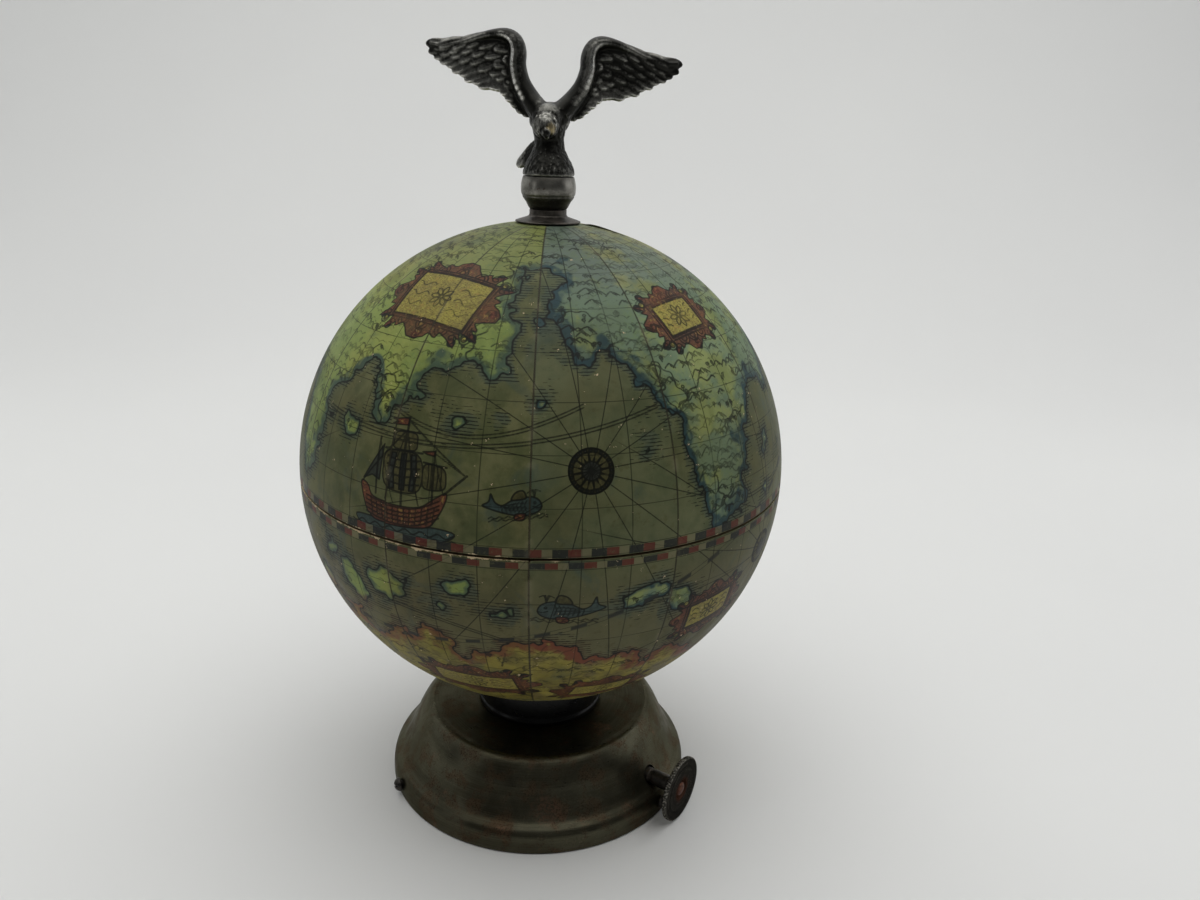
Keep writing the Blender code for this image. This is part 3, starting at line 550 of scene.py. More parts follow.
def mat_wood():
    """Dark stained rack wood: long grain along X with growth bands and pores."""
    g = Graph("dark_wood")
    p = g.coords()
    x, y, z = g.split(p)
    warp = g.noise(p, 0.05, 3, 0.5)
    band = g.sin((y + warp * 16.0 + x * 0.03) * 1.15) * 0.5 + 0.5
    pore = g.noise(g.join(x * 0.12, y * 3.4, z * 3.4), 1.0, 4, 0.65)
    col = g.mix(band, (0.045, 0.020, 0.010), (0.115, 0.052, 0.024))
    col = g.mix(g.step(pore, 0.5, 0.68, 0, 0.7), col, (0.022, 0.010, 0.006))
    rough = g.step(pore, 0.4, 0.7, 0.32, 0.5)
    return g.set(color=col, rough=rough, normal=g.bump(pore * -1.0, 0.2, 0.0001), coat=0.25, coat_rough=0.2)


def mat_glass():
    """Clear pressed glass with a faint wave in its surface."""
    g = Graph("clear_glass")
    p = g.coords()
    wave = g.noise(p, 0.11, 2, 0.5)
    rough = g.step(g.noise(p, 0.6, 3, 0.6), 0.4, 0.75, 0.01, 0.05)
    return g.set(color=(0.93, 0.96, 0.95), rough=rough, normal=g.bump(wave, 0.12, 0.0012), trans=1.0, ior=1.47)


# ---------------------------------------------------------------------------
# the printed globe: shapes on the sphere, in degrees and millimetres
# ---------------------------------------------------------------------------
def on_sphere(lon, lat):
    """Unit vectors. Longitude 0 faces -Y and grows towards +X."""
    lo, la = np.radians(lon), np.radians(lat)
    return np.stack([np.sin(lo) * np.cos(la), -np.cos(lo) * np.cos(la), np.sin(la)], -1)


def local_axes(lon, lat, turn=0.0):
    c = on_sphere(lon, lat)
    east = np.array([math.cos(math.radians(lon)), math.sin(math.radians(lon)), 0.0])
    north = np.cross(c, east)
    t = math.radians(turn)
    return c, math.cos(t) * east + math.sin(t) * north, -math.sin(t) * east + math.cos(t) * north


# coasts: control points (lon, lat), with the land on the left of the way round
COASTS = {
    "north_west": [(-100, 60), (-94, 46), (-86, 38), (-78, 30), (-70, 22), (-64, 12), (-58, 8), (-53, 15), (-52, 25), (-46, 31), (-40, 29),
                   (-36, 24), (-31, 23), (-27, 29), (-21, 36), (-14, 37), (-9, 34), (-6, 39), (-7, 48), (-5, 58), (-6, 67), (-9, 76),
                   (-20, 82), (-50, 84), (-80, 82), (-98, 74)],
    "north_east": [(6, 75), (3, 66), (5, 57), (5, 48), (9, 41), (14, 37), (19, 40), (25, 36), (28, 28), (32, 22), (36, 13), (41, 5),
                   (46, 4), (50, 10), (52, 19), (57, 26), (64, 30), (72, 26), (78, 28), (86, 36), (93, 50), (91, 64), (80, 76),
                   (50, 83), (20, 81)],
    "far_east": [(110, 50), (104, 38), (108, 24), (118, 16), (122, 2), (128, -14), (136, -30), (142, -34), (148, -26),
                 (152, -10), (160, 2), (172, 8), (176, 20), (168, 30), (160, 36), (156, 48), (146, 58), (130, 60)],
    "far_west": [(-168, 20), (-162, 8), (-158, -6), (-150, -22), (-146, -36), (-141, -38), (-136, -26), (-124, -14),
                 (-116, -4), (-118, 8), (-126, 16), (-132, 28), (-144, 34), (-158, 34)],
    "south": [(180, -55), (162, -60), (142, -52), (122, -58), (102, -46), (84, -46), (68, -34), (52, -35), (40, -28), (28, -31), (14, -23),
              (2, -21), (-10, -26), (-22, -20), (-36, -26), (-48, -22), (-62, -32), (-80, -48), (-100, -48), (-125, -58), (-150, -53)],
}
# islands: lon, lat, radius in mm, stretch, turn
ISLANDS = [(-14, 25, 3.2, 1.5, 20), (-6, 27, 1.6, 1.1, 0), (25, 20, 1.8, 1.4, 50), (-42, 20, 2.0, 1.3, -20), (62, 16, 3.0, 1.4, 60),
           (70, 12, 2.2, 1.2, 30), (60, 6, 1.5, 1.2, 0), (-76, 12, 3.2, 1.3, 70), (-84, 18, 2.4, 1.2, 10), (4, 30, 1.5, 1.3, 30),
           (-29, -10, 5.6, 1.5, 15), (-41, -13, 4.6, 1.4, 120), (-18, -13, 3.4, 1.3, 60), (-48, -7, 2.8, 1.3, 20), (-13, -8, 2.6, 1.4, 40),
           (-56, -18, 3.4, 1.5, 70), (-66, -9, 2.8, 1.2, 0), (-5, -13, 2.6, 1.3, 10),
           (25, -9, 4.4, 1.6, 15), (34, -12, 3.6, 1.4, 130), (57, -24, 2.4, 1.3, 40),
           (72, -24, 4.0, 1.6, 45), (84, -12, 3.2, 1.3, 110), (97, -28, 3.8, 1.4, 10), (96, 12, 3.0, 1.4, 60), (-100, -20, 4.4, 1.6, 30),
           (-88, -32, 2.6, 1.3, 120), (-104, 20, 3.4, 1.4, 70), (168, -24, 4.6, 1.5, 20), (178, -38, 3.0, 1.3, 90), (-176, 42, 3.6, 1.7, 10),
           (120, -42, 3.2, 1.4, 0), (-118, -34, 2.8, 1.3, 60), (100, 66, 3.0, 1.8, 0), (-120, 60, 5.0, 1.6, 10), (-150, 62, 4.2, 1.5, 30),
           (170, 60, 4.4, 1.6, 0)]


def fractal(points, amps, seed):
    out = np.zeros(len(points))
    for amp, wave in amps:
        f = GLOBE_R / wave
        out += amp * np.array([noise.noise(Vector(p) * f + Vector((seed * 7.3, seed * 3.1, wave))) for p in points])
    return out


def closed_curve(dirs, step=0.3):
    n, out = len(dirs), []
    for i in range(n):
        p0, p1, p2, p3 = dirs[i - 1], dirs[i], dirs[(i + 1) % n], dirs[(i + 2) % n]
        m = max(2, int(np.linalg.norm(p2 - p1) * GLOBE_R / step))
        t = (np.arange(m) / m)[:, None]
        out.append(0.5 * (2 * p1 + (p2 - p0) * t + (2 * p0 - 5 * p1 + 4 * p2 - p3) * t ** 2 + (3 * p1 - p0 - 3 * p2 + p3) * t ** 3))
    c = np.concatenate(out)
    return c / np.linalg.norm(c, axis=1)[:, None]


def make_coasts():
    loops = []
    for name, pts in COASTS.items():
        a = np.array(pts, float)
        c = closed_curve(on_sphere(a[:, 0], a[:, 1]))
        loops.append((name, c))
    for lon, lat, r, stretch, turn in ISLANDS:
        c0, e, n = local_axes(lon, lat, turn)
        t = np.arange(40) / 40 * 2 * math.pi
        c = c0 + (np.cos(t)[:, None] * e * r * stretch + np.sin(t)[:, None] * n * r / stretch ** 0.5) / GLOBE_R
        c = closed_curve(c / np.linalg.norm(c, axis=1)[:, None], 0.25)
        loops.append(("island", c))
    return loops


class CoastField:
    """Signed distance in mm to the nearest coast, positive on land, and which land that is."""

    def __init__(self, loops):
        self.p = np.concatenate([c for _, c in loops]) * GLOBE_R
        nxt, prv, kind, start = [], [], [], 0
        names = list(COASTS)
        for name, c in loops:
            i = np.arange(len(c))
            nxt.append(start + (i + 1) % len(c))
            prv.append(start + (i - 1) % len(c))
            kind.append(np.full(len(c), names.index(name) if name in names else len(names)))
            start += len(c)
        self.nxt, self.prv, self.kind = map(np.concatenate, (nxt, prv, kind))
        self.tree = kdtree.KDTree(len(self.p))
        for i, v in enumerate(self.p):
            self.tree.insert(v, i)
        self.tree.balance()

    def near(self, q):
        find = self.tree.find
        return np.array([find(v)[1] for v in q.tolist()])

    def __call__(self, q):
        """q: points on the sphere in mm."""
        i = self.near(q)
        best, sign = np.full(len(q), 1e9), np.ones(len(q))
        for a, b in ((self.prv[i], i), (i, self.nxt[i])):
            pa, pb = self.p[a], self.p[b]
            d = pb - pa
            t = np.clip(((q - pa) * d).sum(1) / np.maximum((d * d).sum(1), 1e-9), 0, 1)
            dist = np.linalg.norm(q - pa - d * t[:, None], axis=1)
            left = np.cross(pa, d)
            s = np.sign(((q - pa) * left).sum(1))
            inner = (t > 0.001) & (t < 0.999)
            mean = np.cross(self.p[i], self.p[self.nxt[i]] - self.p[self.prv[i]])
            s = np.where(inner, s, np.sign(((q - self.p[i]) * mean).sum(1)))
            better = dist < best
            best, sign = np.where(better, dist, best), np.where(better, s, sign)
        # the drawn shore wanders about the smooth one, and throws off islets where the wander is strong
        sd, kind = best * sign, self.kind[i]
        # land closes over the pole
        sd = np.maximum(sd, (np.arcsin(np.clip(q[:, 2] / GLOBE_R, -1, 1)) - math.radians(61.0)) * GLOBE_R)
        close = np.where(np.abs(sd) < 9.0)[0]
        wander = np.zeros(len(q))
        wander[close] = fractal(q[close] / GLOBE_R, [(5.2, 17.0), (4.4, 8.0), (3.2, 3.8), (1.7, 1.9)], 1.0)
        wander *= np.where(kind == len(COASTS), 0.62, 1.0) * np.clip((9.0 - np.abs(sd)) / 3.0, 0, 1)
        return sd + wander, kind


class Ink:
    """Pen strokes on the sphere. Each is a run of points with a half-width."""

    def __init__(self):
        self.pts, self.wid = [], []

    def stroke3(self, pts, width, step=0.22):
        pts = np.asarray(pts, float)
        for a, b in zip(pts[:-1], pts[1:]):
            m = max(1, int(np.linalg.norm(b - a) / step))
            t = (np.arange(m) / m)[:, None]
            self.pts.append(a + (b - a) * t)
            self.wid.append(np.full(m, width))
        self.pts.append(pts[-1:])
        self.wid.append(np.array([width]))

    def stroke(self, frame_, uv, width):
        c, e, n = frame_
        uv = np.asarray(uv, float)
        d = c + (uv[:, :1] * e + uv[:, 1:] * n) / GLOBE_R
        self.stroke3(d / np.linalg.norm(d, axis=1)[:, None] * GLOBE_R, width)

    def build(self):
        p = np.concatenate(self.pts)
        p = p / np.linalg.norm(p, axis=1)[:, None] * GLOBE_R
        self.w = np.concatenate(self.wid)
        self.tree = kdtree.KDTree(len(p))
        for i, v in enumerate(p):
            self.tree.insert(v, i)
        self.tree.balance()

    def __call__(self, q):
        find = self.tree.find
        got = [find(v)[1:] for v in q.tolist()]
        i = np.array([a for a, _ in got])
        d = np.array([b for _, b in got])
        return np.clip(d - self.w[i], -1.0, 3.0)


def polygon_distance(uv, poly):
    """Signed distance of (N, 2) points to a polygon, positive inside."""
    a = np.asarray(poly, float)
    b = np.roll(a, -1, 0)
    best, inside = np.full(len(uv), 1e9), np.zeros(len(uv), bool)
    for p, q in zip(a, b):
        d = q - p
        t = np.clip(((uv - p) @ d) / max(d @ d, 1e-9), 0, 1)
        best = np.minimum(best, np.linalg.norm(uv - p - t[:, None] * d, axis=1))
        cross = (p[1] > uv[:, 1]) != (q[1] > uv[:, 1])
        x = p[0] + (uv[:, 1] - p[1]) / (d[1] if abs(d[1]) > 1e-9 else 1e-9) * d[0]
        inside ^= cross & (uv[:, 0] < x)
    return np.where(inside, best, -best)


def curve2(pts, steps=6, closed=True):
    """A smooth run through 2D points."""
    p = np.asarray(pts, float)
    n, out = len(p), []
    for i in range(n if closed else n - 1):
        g = (lambda k: p[k % n]) if closed else (lambda k: p[min(max(k, 0), n - 1)])
        p0, p1, p2, p3 = g(i - 1), g(i), g(i + 1), g(i + 2)
        for k in range(steps):
            t = k / steps
            out.append(0.5 * (2 * p1 + (p2 - p0) * t + (2 * p0 - 5 * p1 + 4 * p2 - p3) * t * t + (3 * p1 - p0 - 3 * p2 + p3) * t ** 3))
    if not closed:
        out.append(p[-1])
    return np.array(out)


class Art:
    """Flat fills by colour, each a list of (centre frame, polygon), and the ink strokes that go with them."""

    COLOURS = ("red", "yellow", "blue", "dark", "olive")

    def __init__(self):
        self.fills = {c: [] for c in self.COLOURS}
        self.ink = Ink()
        self.keep_clear = []

    def fill(self, colour, frame_, poly):
        poly = np.asarray(poly, float)
        self.fills[colour].append((frame_, poly, np.abs(poly).max() * 1.5 + 4))

    def field(self, colour, q):
        out = np.full(len(q), -5.0)
        for (c, e, n), poly, reach in self.fills[colour]:
            near = np.where(np.linalg.norm(q - c * GLOBE_R, axis=1) < reach)[0]
            if not len(near):
                continue
            k = q[near] / ((q[near] @ c) / GLOBE_R)[:, None]
            uv = np.c_[k @ e, k @ n]
            out[near] = np.maximum(out[near], polygon_distance(uv, poly))
        return np.clip(out, -5, 5)


def circle(r, n=48, cx=0.0, cy=0.0):
    t = np.arange(n) / n * 2 * math.pi
    return np.c_[cx + r * np.cos(t), cy + r * np.sin(t)]


def closed(p):
    return np.concatenate([p, p[:1]])


def draw_ship(art, lon, lat, size=1.0, flip=1, turn=0.0, reef=0):
    """A square-rigged ship: hull, sails, masts, stays and a little swell."""
    f = local_axes(lon, lat, turn)
    S = np.array([size * flip, size])
    hull = curve2([(-9.2, 0.2), (-10.6, 4.8), (-8.6, 4.4), (-7.0, 2.2), (-1, 1.5), (4.2, 1.9), (7.2, 3.8), (9.8, 5.4), (10, 3.9),
                   (8, 0.0), (5, -2.2), (-5, -2.6), (-8, -1.5)], 4) * S
    art.fill("red", f, hull)
    sails = [[(-3.6, 4.8), (-4.9, 8.6), (-3.8, 12.2), (3.0, 12.2), (4.6, 8.4), (3.2, 4.6)],
             [(-2.4, 12.9), (-2.9, 14.6), (-2.2, 16.4), (2.0, 16.4), (2.7, 14.6), (2.2, 12.9)],
             [(5.2, 5.8), (4.6, 8.2), (5.2, 10.6), (9.0, 10.2), (9.8, 8.0), (9.2, 6.0)]]
    if not reef:
        art.fill("olive", f, curve2(sails[0], 4) * S)
    else:
        art.fill("red", f, curve2(sails[0], 4) * S)
    art.fill("olive", f, curve2(sails[1], 4) * S)
    art.fill("olive", f, curve2(sails[2], 4) * S)
    art.fill("dark", f, np.array([(-10.0, 5.6), (-5.2, 13.2), (-5.6, 5.8), (-7.6, 6.6)]) * S)
    for s in sails[:1]:
        for v in (6.2, 7.8, 9.4, 11.0):
            art.ink.stroke(f, np.array([(-3.9, v), (0, v - 0.5), (3.9, v)]) * S, 0.11 * size)
    for u in (-3.0, -1.8, -0.6, 0.6, 1.8, 2.8):
        art.ink.stroke(f, np.array([(u, 12.1), (u * 1.2, 8.4), (u, 4.8)]) * S, 0.07 * size)
    for u in (5.8, 6.6, 7.8, 8.6):
        art.ink.stroke(f, np.array([(u, 10.4), (u + 0.2, 8.0), (u, 6.0)]) * S, 0.07 * size)
    for a, b, w in (((0, 1.5), (0, 19.6), .2), ((7, 3), (7, 13.4), .17), ((-6.4, 3), (-6.4, 14.6), .17), ((9.4, 5), (14.2, 9.4), .16),
                    ((0, 19.0), (14.0, 9.2), .1), ((0, 17.0), (-10.2, 5.0), .1), ((0, 17), (4, 2.2), .1), ((0, 17), (-4, 2.2), .06),
                    ((7, 13), (14, 9.2), .06), ((7, 12.4), (9.4, 5), .06), ((-6.4, 14), (-2, 2), .06), ((-4.8, 12.5), (4.2, 12.6), .14),
                    ((-3.4, 16.6), (3, 16.6), .12), ((4.6, 10.9), (9.8, 10.5), .12)):
        art.ink.stroke(f, np.array([a, b]) * S, w * size)
    art.fill("red", f, np.array([(0, 19.6), (-4.2, 18.9), (-2.6, 18.4), (-4.0, 17.8), (0, 18.0)]) * S)
    art.fill("red", f, np.array([(7, 13.4), (4.2, 13.0), (5.2, 12.6), (7, 12.4)]) * S)
    for u in np.linspace(-7.6, 7.6, 12):
        art.ink.stroke(f, np.array([(u, 1.2 + 0.03 * u * u * 0.6), (u * 0.94, -1.9 + 0.012 * u * u)]) * S, 0.07 * size)
    for u in (-2.4, 0.0, 2.2):
        art.fill("dark", f, np.array([(u - 0.55, 12.0), (u + 0.55, 12.0), (u * 1.18 + 0.6, 8.4), (u + 0.5, 4.8), (u - 0.5, 4.8), (u * 1.18 - 0.6, 8.4)]) * S)
    for k in (-0.7, 0.2, 1.0, 1.9, 2.7):
        art.ink.stroke(f, curve2([(-9.0, 1.6 - k), (-4, 0.6 - k), (3, 0.7 - k), (8.6, 3.0 - k)], 5, False) * S, 0.09 * size)
    for j, (u0, u1, v) in enumerate([(-13, 12, -3.4), (-11, 14, -4.6), (-9, 10, -5.8)]):
        u = np.linspace(u0, u1, 40)
        art.ink.stroke(f, np.c_[u, v + 0.45 * np.sin(u * 1.7 + j)] * S, 0.1 * size)
    art.fill("blue", f, curve2([(-12, -2.2), (-6, -2.0), (0, -2.6), (7, -1.8), (12, -2.6), (9, -4.6), (0, -5.2), (-9, -4.6)], 4) * S)
    art.keep_clear.append((f[0], 15 * size))


def draw_rose(art, lon, lat, r=6.6, turn=8.0):
    """A wind rose: rings, a sixteen-point star and a bead border."""
    f = local_axes(lon, lat, turn)
    art.fill("olive", f, circle(r, 64))
    art.fill("dark", f, circle(r * 0.42, 40))
    star = []
    for k in range(32):
        a = math.pi * 2 * k / 32
        rad = (r * 0.80, r * 0.24, r * 0.58, r * 0.24)[k % 4]
        star.append((rad * math.sin(a), rad * math.cos(a)))
    art.fill("dark", f, star)
    for k in range(24):
        a = math.pi * 2 * (k + 0.5) / 24
        art.fill("dark", f, circle(r * 0.075, 12, r * 0.905 * math.sin(a), r * 0.905 * math.cos(a)))
    art.ink.stroke(f, closed(circle(r * 1.0, 72)), 0.16)
    art.ink.stroke(f, closed(circle(r * 0.83, 72)), 0.10)
    for k in range(16):
        a = math.pi * 2 * k / 16
        art.ink.stroke(f, [(0, 0), (r * 0.78 * math.sin(a), r * 0.78 * math.cos(a))], 0.07)
    art.keep_clear.append((f[0], r + 1))


def draw_fish(art, lon, lat, size=1.0, flip=1, turn=0.0):
    """A spouting sea beast of the usual chart kind."""
    f = local_axes(lon, lat, turn)
    S = np.array([size * flip, size])
    body = curve2([(-9, 0.6), (-7.4, 3.4), (-3, 4.6), (2, 3.6), (6, 1.8), (8.8, 3.2), (10.2, 6.6), (11.2, 3.6), (14, 2.2), (10.8, 0.6),
                   (6.4, -1.0), (1, -2.4), (-4, -2.6), (-7.6, -1.6)], 4) * S
    art.fill("blue", f, body)
    art.fill("olive", f, curve2([(-3.4, 4.2), (-2.4, 7.0), (0.6, 6.4), (2.4, 3.8), (0, 3.6)], 4) * S)
    art.fill("red", f, curve2([(-2.6, -2.0), (-1.4, -4.4), (1.6, -4.0), (1.2, -2.0)], 4) * S)
    art.ink.stroke(f, closed(circle(0.42, 12, -6.4, 1.8)) * S, 0.12 * size)
    for v in (1.9, 0.6, -0.7):
        art.ink.stroke(f, curve2([(-3.2, v), (0.5, v + 0.3), (5.4, v * 0.5 + 0.6)], 5, False) * S, 0.08 * size)
    for k in range(7):
        u = -3.6 + 1.55 * k
        art.ink.stroke(f, curve2([(u, 3.2 - 0.28 * k), (u + 0.9, 1.4), (u + 0.3, -1.2)], 4, False) * S, 0.1 * size)
    art.ink.stroke(f, curve2([(-9, 0.2), (-7.4, -0.2), (-5.6, 0.4)], 4, False) * S, 0.13 * size)
    for d in (-1.9, -0.7, 0.7, 1.9):
        art.ink.stroke(f, curve2([(-6.4, 3.8), (-6.4 + d * 0.5, 6.6), (-6.4 + d * 1.3, 7.0 - abs(d) * 0.5)], 4, False) * S, 0.12 * size)
    for j, v in enumerate((-2.9, -4.0)):
        u = np.linspace(-11, 12, 36)
        art.ink.stroke(f, np.c_[u, v + 0.4 * np.sin(u * 1.9 + j)] * S, 0.1 * size)
    art.keep_clear.append((f[0], 13 * size))


def draw_cartouche(art, lon, lat, w=13.5, h=8.0, turn=-4.0):
    """A plain yellow tablet in a scrolled strapwork frame."""
    f = local_axes(lon, lat, turn)
    t = np.arange(160) / 160 * 2 * math.pi
    sx, sy = w + 5.0, h + 4.8
    sq = np.c_[np.sign(np.cos(t)) * np.abs(np.cos(t)) ** 0.6 * sx, np.sign(np.sin(t)) * np.abs(np.sin(t)) ** 0.6 * sy]
    lobes = 1 + 0.10 * np.cos(t * 12) + 0.06 * np.cos(t * 24 + 1) + 0.04 * np.cos(t * 36)
    art.fill("red", f, sq * lobes[:, None])
    for k in range(12):
        a = 2 * math.pi * k / 12
        c, sn = math.cos(a), math.sin(a)
        cx, cy = np.sign(c) * abs(c) ** 0.6 * sx * 1.06, np.sign(sn) * abs(sn) ** 0.6 * sy * 1.08
        art.fill("dark", f, circle(1.25, 16, cx, cy))
        art.fill("olive", f, circle(0.62, 12, cx, cy))
        u = np.linspace(0, 2.2 * math.pi, 26)
        art.ink.stroke(f, np.c_[cx * 0.93 + (1.9 - 0.24 * u) * np.cos(u + a), cy * 0.90 + (1.7 - 0.21 * u) * np.sin(u + a)], 0.14)
    art.fill("yellow", f, [(-w, -h), (w, -h), (w, h), (-w, h)])
    for k, (dx, dy) in enumerate(((0.45, 0.45), (1.5, 1.4))):
        art.ink.stroke(f, closed(np.array([(-w - dx, -h - dy), (w + dx, -h - dy), (w + dx, h + dy), (-w - dx, h + dy)])), 0.26 - 0.1 * k)
    for cx, cy in ((-1, -1), (1, -1), (1, 1), (-1, 1)):
        s = np.linspace(0, 2.6 * math.pi, 40)
        rr = 2.7 - 0.28 * s
        art.ink.stroke(f, np.c_[cx * (w + 2.4 + rr * np.cos(s) * 0.75), cy * (h + 2.2 + rr * np.sin(s) * 0.75)], 0.17)
        art.fill("yellow", f, circle(0.9, 14, cx * (w + 2.5), cy * (h + 2.3)))
    for u in (-w * 0.55, 0, w * 0.55):
        for cy in (-1, 1):
            s = np.linspace(0, math.pi, 18)
            art.ink.stroke(f, np.c_[u + 2.2 * np.cos(s), cy * (h + 1.6 + 2.3 * np.sin(s))], 0.16)
            art.ink.stroke(f, np.c_[u + 1.1 * np.cos(s), cy * (h + 1.6 + 1.3 * np.sin(s))], 0.12)
    # a plain rosette on the tablet
    for k in range(8):
        a = math.pi / 4 * k
        petal = [(0.6 * math.cos(a), 0.6 * math.sin(a)), (2.6 * math.cos(a - 0.3), 2.6 * math.sin(a - 0.3)),
                 (3.9 * math.cos(a), 3.9 * math.sin(a)), (2.6 * math.cos(a + 0.3), 2.6 * math.sin(a + 0.3))]
        art.ink.stroke(f, closed(curve2(petal, 4)), 0.13)
    for sgn in (-1, 1):
        for v in (-h * 0.62, 0, h * 0.62):
            u = np.linspace(5.2, w - 1.2, 24)
            art.ink.stroke(f, np.c_[sgn * u, v * 0.75 + 0.8 * np.sin((u - 5.2) * 1.1)], 0.11)
    art.keep_clear.append((f[0], w + 3.5))


def draw_land_marks(art, coast, rng):
    """Molehill mountains, small trees and rivers, kept off the other drawings."""
    tries = 14000
    z = rng.uniform(-0.985, 0.985, tries)
    lo = rng.uniform(-180, 180, tries)
    pts = on_sphere(lo, np.degrees(np.arcsin(z)))
    sd, _ = coast(pts * GLOBE_R)
    kept = []
    for i in np.where(sd > 2.6)[0]:
        p = pts[i]
        if any(np.linalg.norm(p - c) * GLOBE_R < r + 2.5 for c, r in art.keep_clear):
            continue
        if any(np.linalg.norm(p - k) * GLOBE_R < 3.9 for k in kept):
            continue
        kept.append(p)
        lat, lon = math.degrees(math.asin(p[2])), math.degrees(math.atan2(p[0], -p[1]))
        f = local_axes(lon, lat, rng.uniform(-8, 8))
        s = rng.uniform(0.75, 1.25)
        if sd[i] > 4 and rng.random() < 0.80:
            for k in range(rng.integers(1, 4)):
                ox, oy, ss = k * 2.3 * s - 1.5, -0.45 * (k % 2), s * rng.uniform(0.8, 1.1)
                hill = curve2([(-2.2, 0), (-1.1, 0.95), (0, 1.55), (0.75, 1.1), (1.2, 0.9), (2.3, -0.15)], 3, False) * ss + (ox, oy)
                art.ink.stroke(f, hill, 0.13)
                for j in range(3):
                    u = 0.15 + 0.42 * j
                    art.ink.stroke(f, np.array([(u, 1.42 - 0.42 * j), (u + 0.34, 0.55 - 0.36 * j)]) * ss + (ox, oy), 0.07)
        else:
            for k in range(rng.integers(2, 5)):
                ox, oy = rng.uniform(-1.6, 1.6), rng.uniform(-0.9, 0.9)
                art.ink.stroke(f, np.array([(ox, oy), (ox, oy + 0.7)]), 0.09)
                art.ink.stroke(f, closed(circle(0.45, 8, ox, oy + 1.0)), 0.10)
    # rivers run in from the coast, turning as they go
    names = list(COASTS)
    big = np.where(coast.kind < len(names))[0]
    for i in rng.choice(big, 64, replace=False):
        p = coast.p[i] / GLOBE_R
        d = np.cross(p, coast.p[coast.nxt[i]] - coast.p[coast.prv[i]])
        d /= np.linalg.norm(d)
        for branch in range(2):
            q, dd, run = p.copy(), d.copy(), [p * GLOBE_R]
            for k in range(int(rng.integers(24, 60))):
                bend = rng.normal(0, 0.30) + 0.35 * math.sin(k * 0.55 + i)
                dd = dd + np.cross(q, dd) * bend
                dd -= q * (dd @ q)
                dd /= np.linalg.norm(dd)
                q = q + dd * 0.55 / GLOBE_R
                q /= np.linalg.norm(q)
                run.append(q * GLOBE_R)
                if branch == 0 and k == 12:
                    fork = (q.copy(), dd.copy())
            run = np.array(run)
            sdr, _ = coast(run)
            dry = np.where(sdr > 0.1)[0]
            first = dry[0] if len(dry) else len(run)
            bad = np.where((sdr < 0.1) & (np.arange(len(run)) > first))[0]
            end = bad[0] if len(bad) else len(run)
            hit = [k for k in range(first, end) if any(np.linalg.norm(run[k] / GLOBE_R - c) * GLOBE_R < r for c, r in art.keep_clear)]
            end = min(end, hit[0]) if hit else end
            if end > first + 6:
                art.ink.stroke3(run[first:end], 0.17 if branch == 0 else 0.12)
            if end < 16:
                break
            p, d = fork[0], fork[1] + np.cross(fork[0], fork[1]) * 0.9


ROSES = [(13, 17, 6.2), (62, -9, 5.6), (-92, -8, 6.4), (150, 66, 5.2), (-162, -52, 5.6), (-110, 40, 6.0)]


def make_art(coast, rng):
    art = Art()
    for lon, lat, r in ROSES:
        draw_rose(art, lon, lat, r)
    draw_ship(art, -25, 6.2, 1.42, 1, 2.0)
    draw_ship(art, 74, -33, 0.85, -1, 0.0, 1)
    draw_ship(art, 100, 0, 0.9, 1, 3.0)
    draw_ship(art, -178, -20, 1.0, -1, 0.0, 1)
    draw_ship(art, -80, -22, 0.9, 1, 0.0)
    draw_ship(art, -140, 44, 0.9, -1, -3.0)
    draw_fish(art, -1, 10, 0.70, -1, 6.0)
    draw_fish(art, 8, -12, 0.85, 1, -4.0)
    draw_fish(art, 96, -38, 0.9, -1, 0.0)
    draw_fish(art, -128, -40, 0.9, 1, 0.0)
    draw_fish(art, 92, 24, 0.7, 1, 0.0)
    draw_cartouche(art, -32, 51, 14.0, 8.4, -5.0)
    draw_cartouche(art, 138, 30, 10.5, 7.0, 6.0)
    draw_cartouche(art, 47, 47, 8.0, 5.2, 8.0)
    draw_cartouche(art, 45, -19, 9.0, 4.6, 5.0)
    draw_cartouche(art, -14, -38, 13.0, 4.6, 2.0)
    draw_cartouche(art, 22, -43, 10.0, 4.2, -3.0)
    draw_land_marks(art, coast, rng)
    # sailing tracks: gently bowed pairs of lines across the sea
    for a, b, bow in (((-52, 22), (36, 30), -5.0), ((-40, 30), (12, 29), -7.0), ((-50, -14), (20, -30), 5.0), ((44, 6), (104, 20), -5.0),
                      ((-110, 14), (-66, 20), -4.0), ((-100, -40), (-30, -36), 4.0), ((60, -42), (118, -30), 4.0)):
        for off in (0.0, 1.1):
            t = np.linspace(0, 1, 90)
            run = on_sphere(a[0] + (b[0] - a[0]) * t, a[1] + off * 0.6 + (b[1] - a[1]) * t + bow * np.sin(math.pi * t)) * GLOBE_R
            sdr, _ = coast(run)
            keep = (sdr < -0.6) & ~np.any([np.linalg.norm(run / GLOBE_R - c, axis=1) * GLOBE_R < r * 0.72 for c, r in art.keep_clear], 0)
            for s in np.split(np.arange(90), np.where(np.diff(keep.astype(int)) != 0)[0] + 1):
                if keep[s[0]] and len(s) > 2:
                    art.ink.stroke3(run[s], 0.10)
    art.ink.build()
    return art


SEAM_LON = 1.0     # one paper joint lies here, the rest every 30 degrees
GORES = 12
NOTCH_X, NOTCH_R = -1.0, 2.6


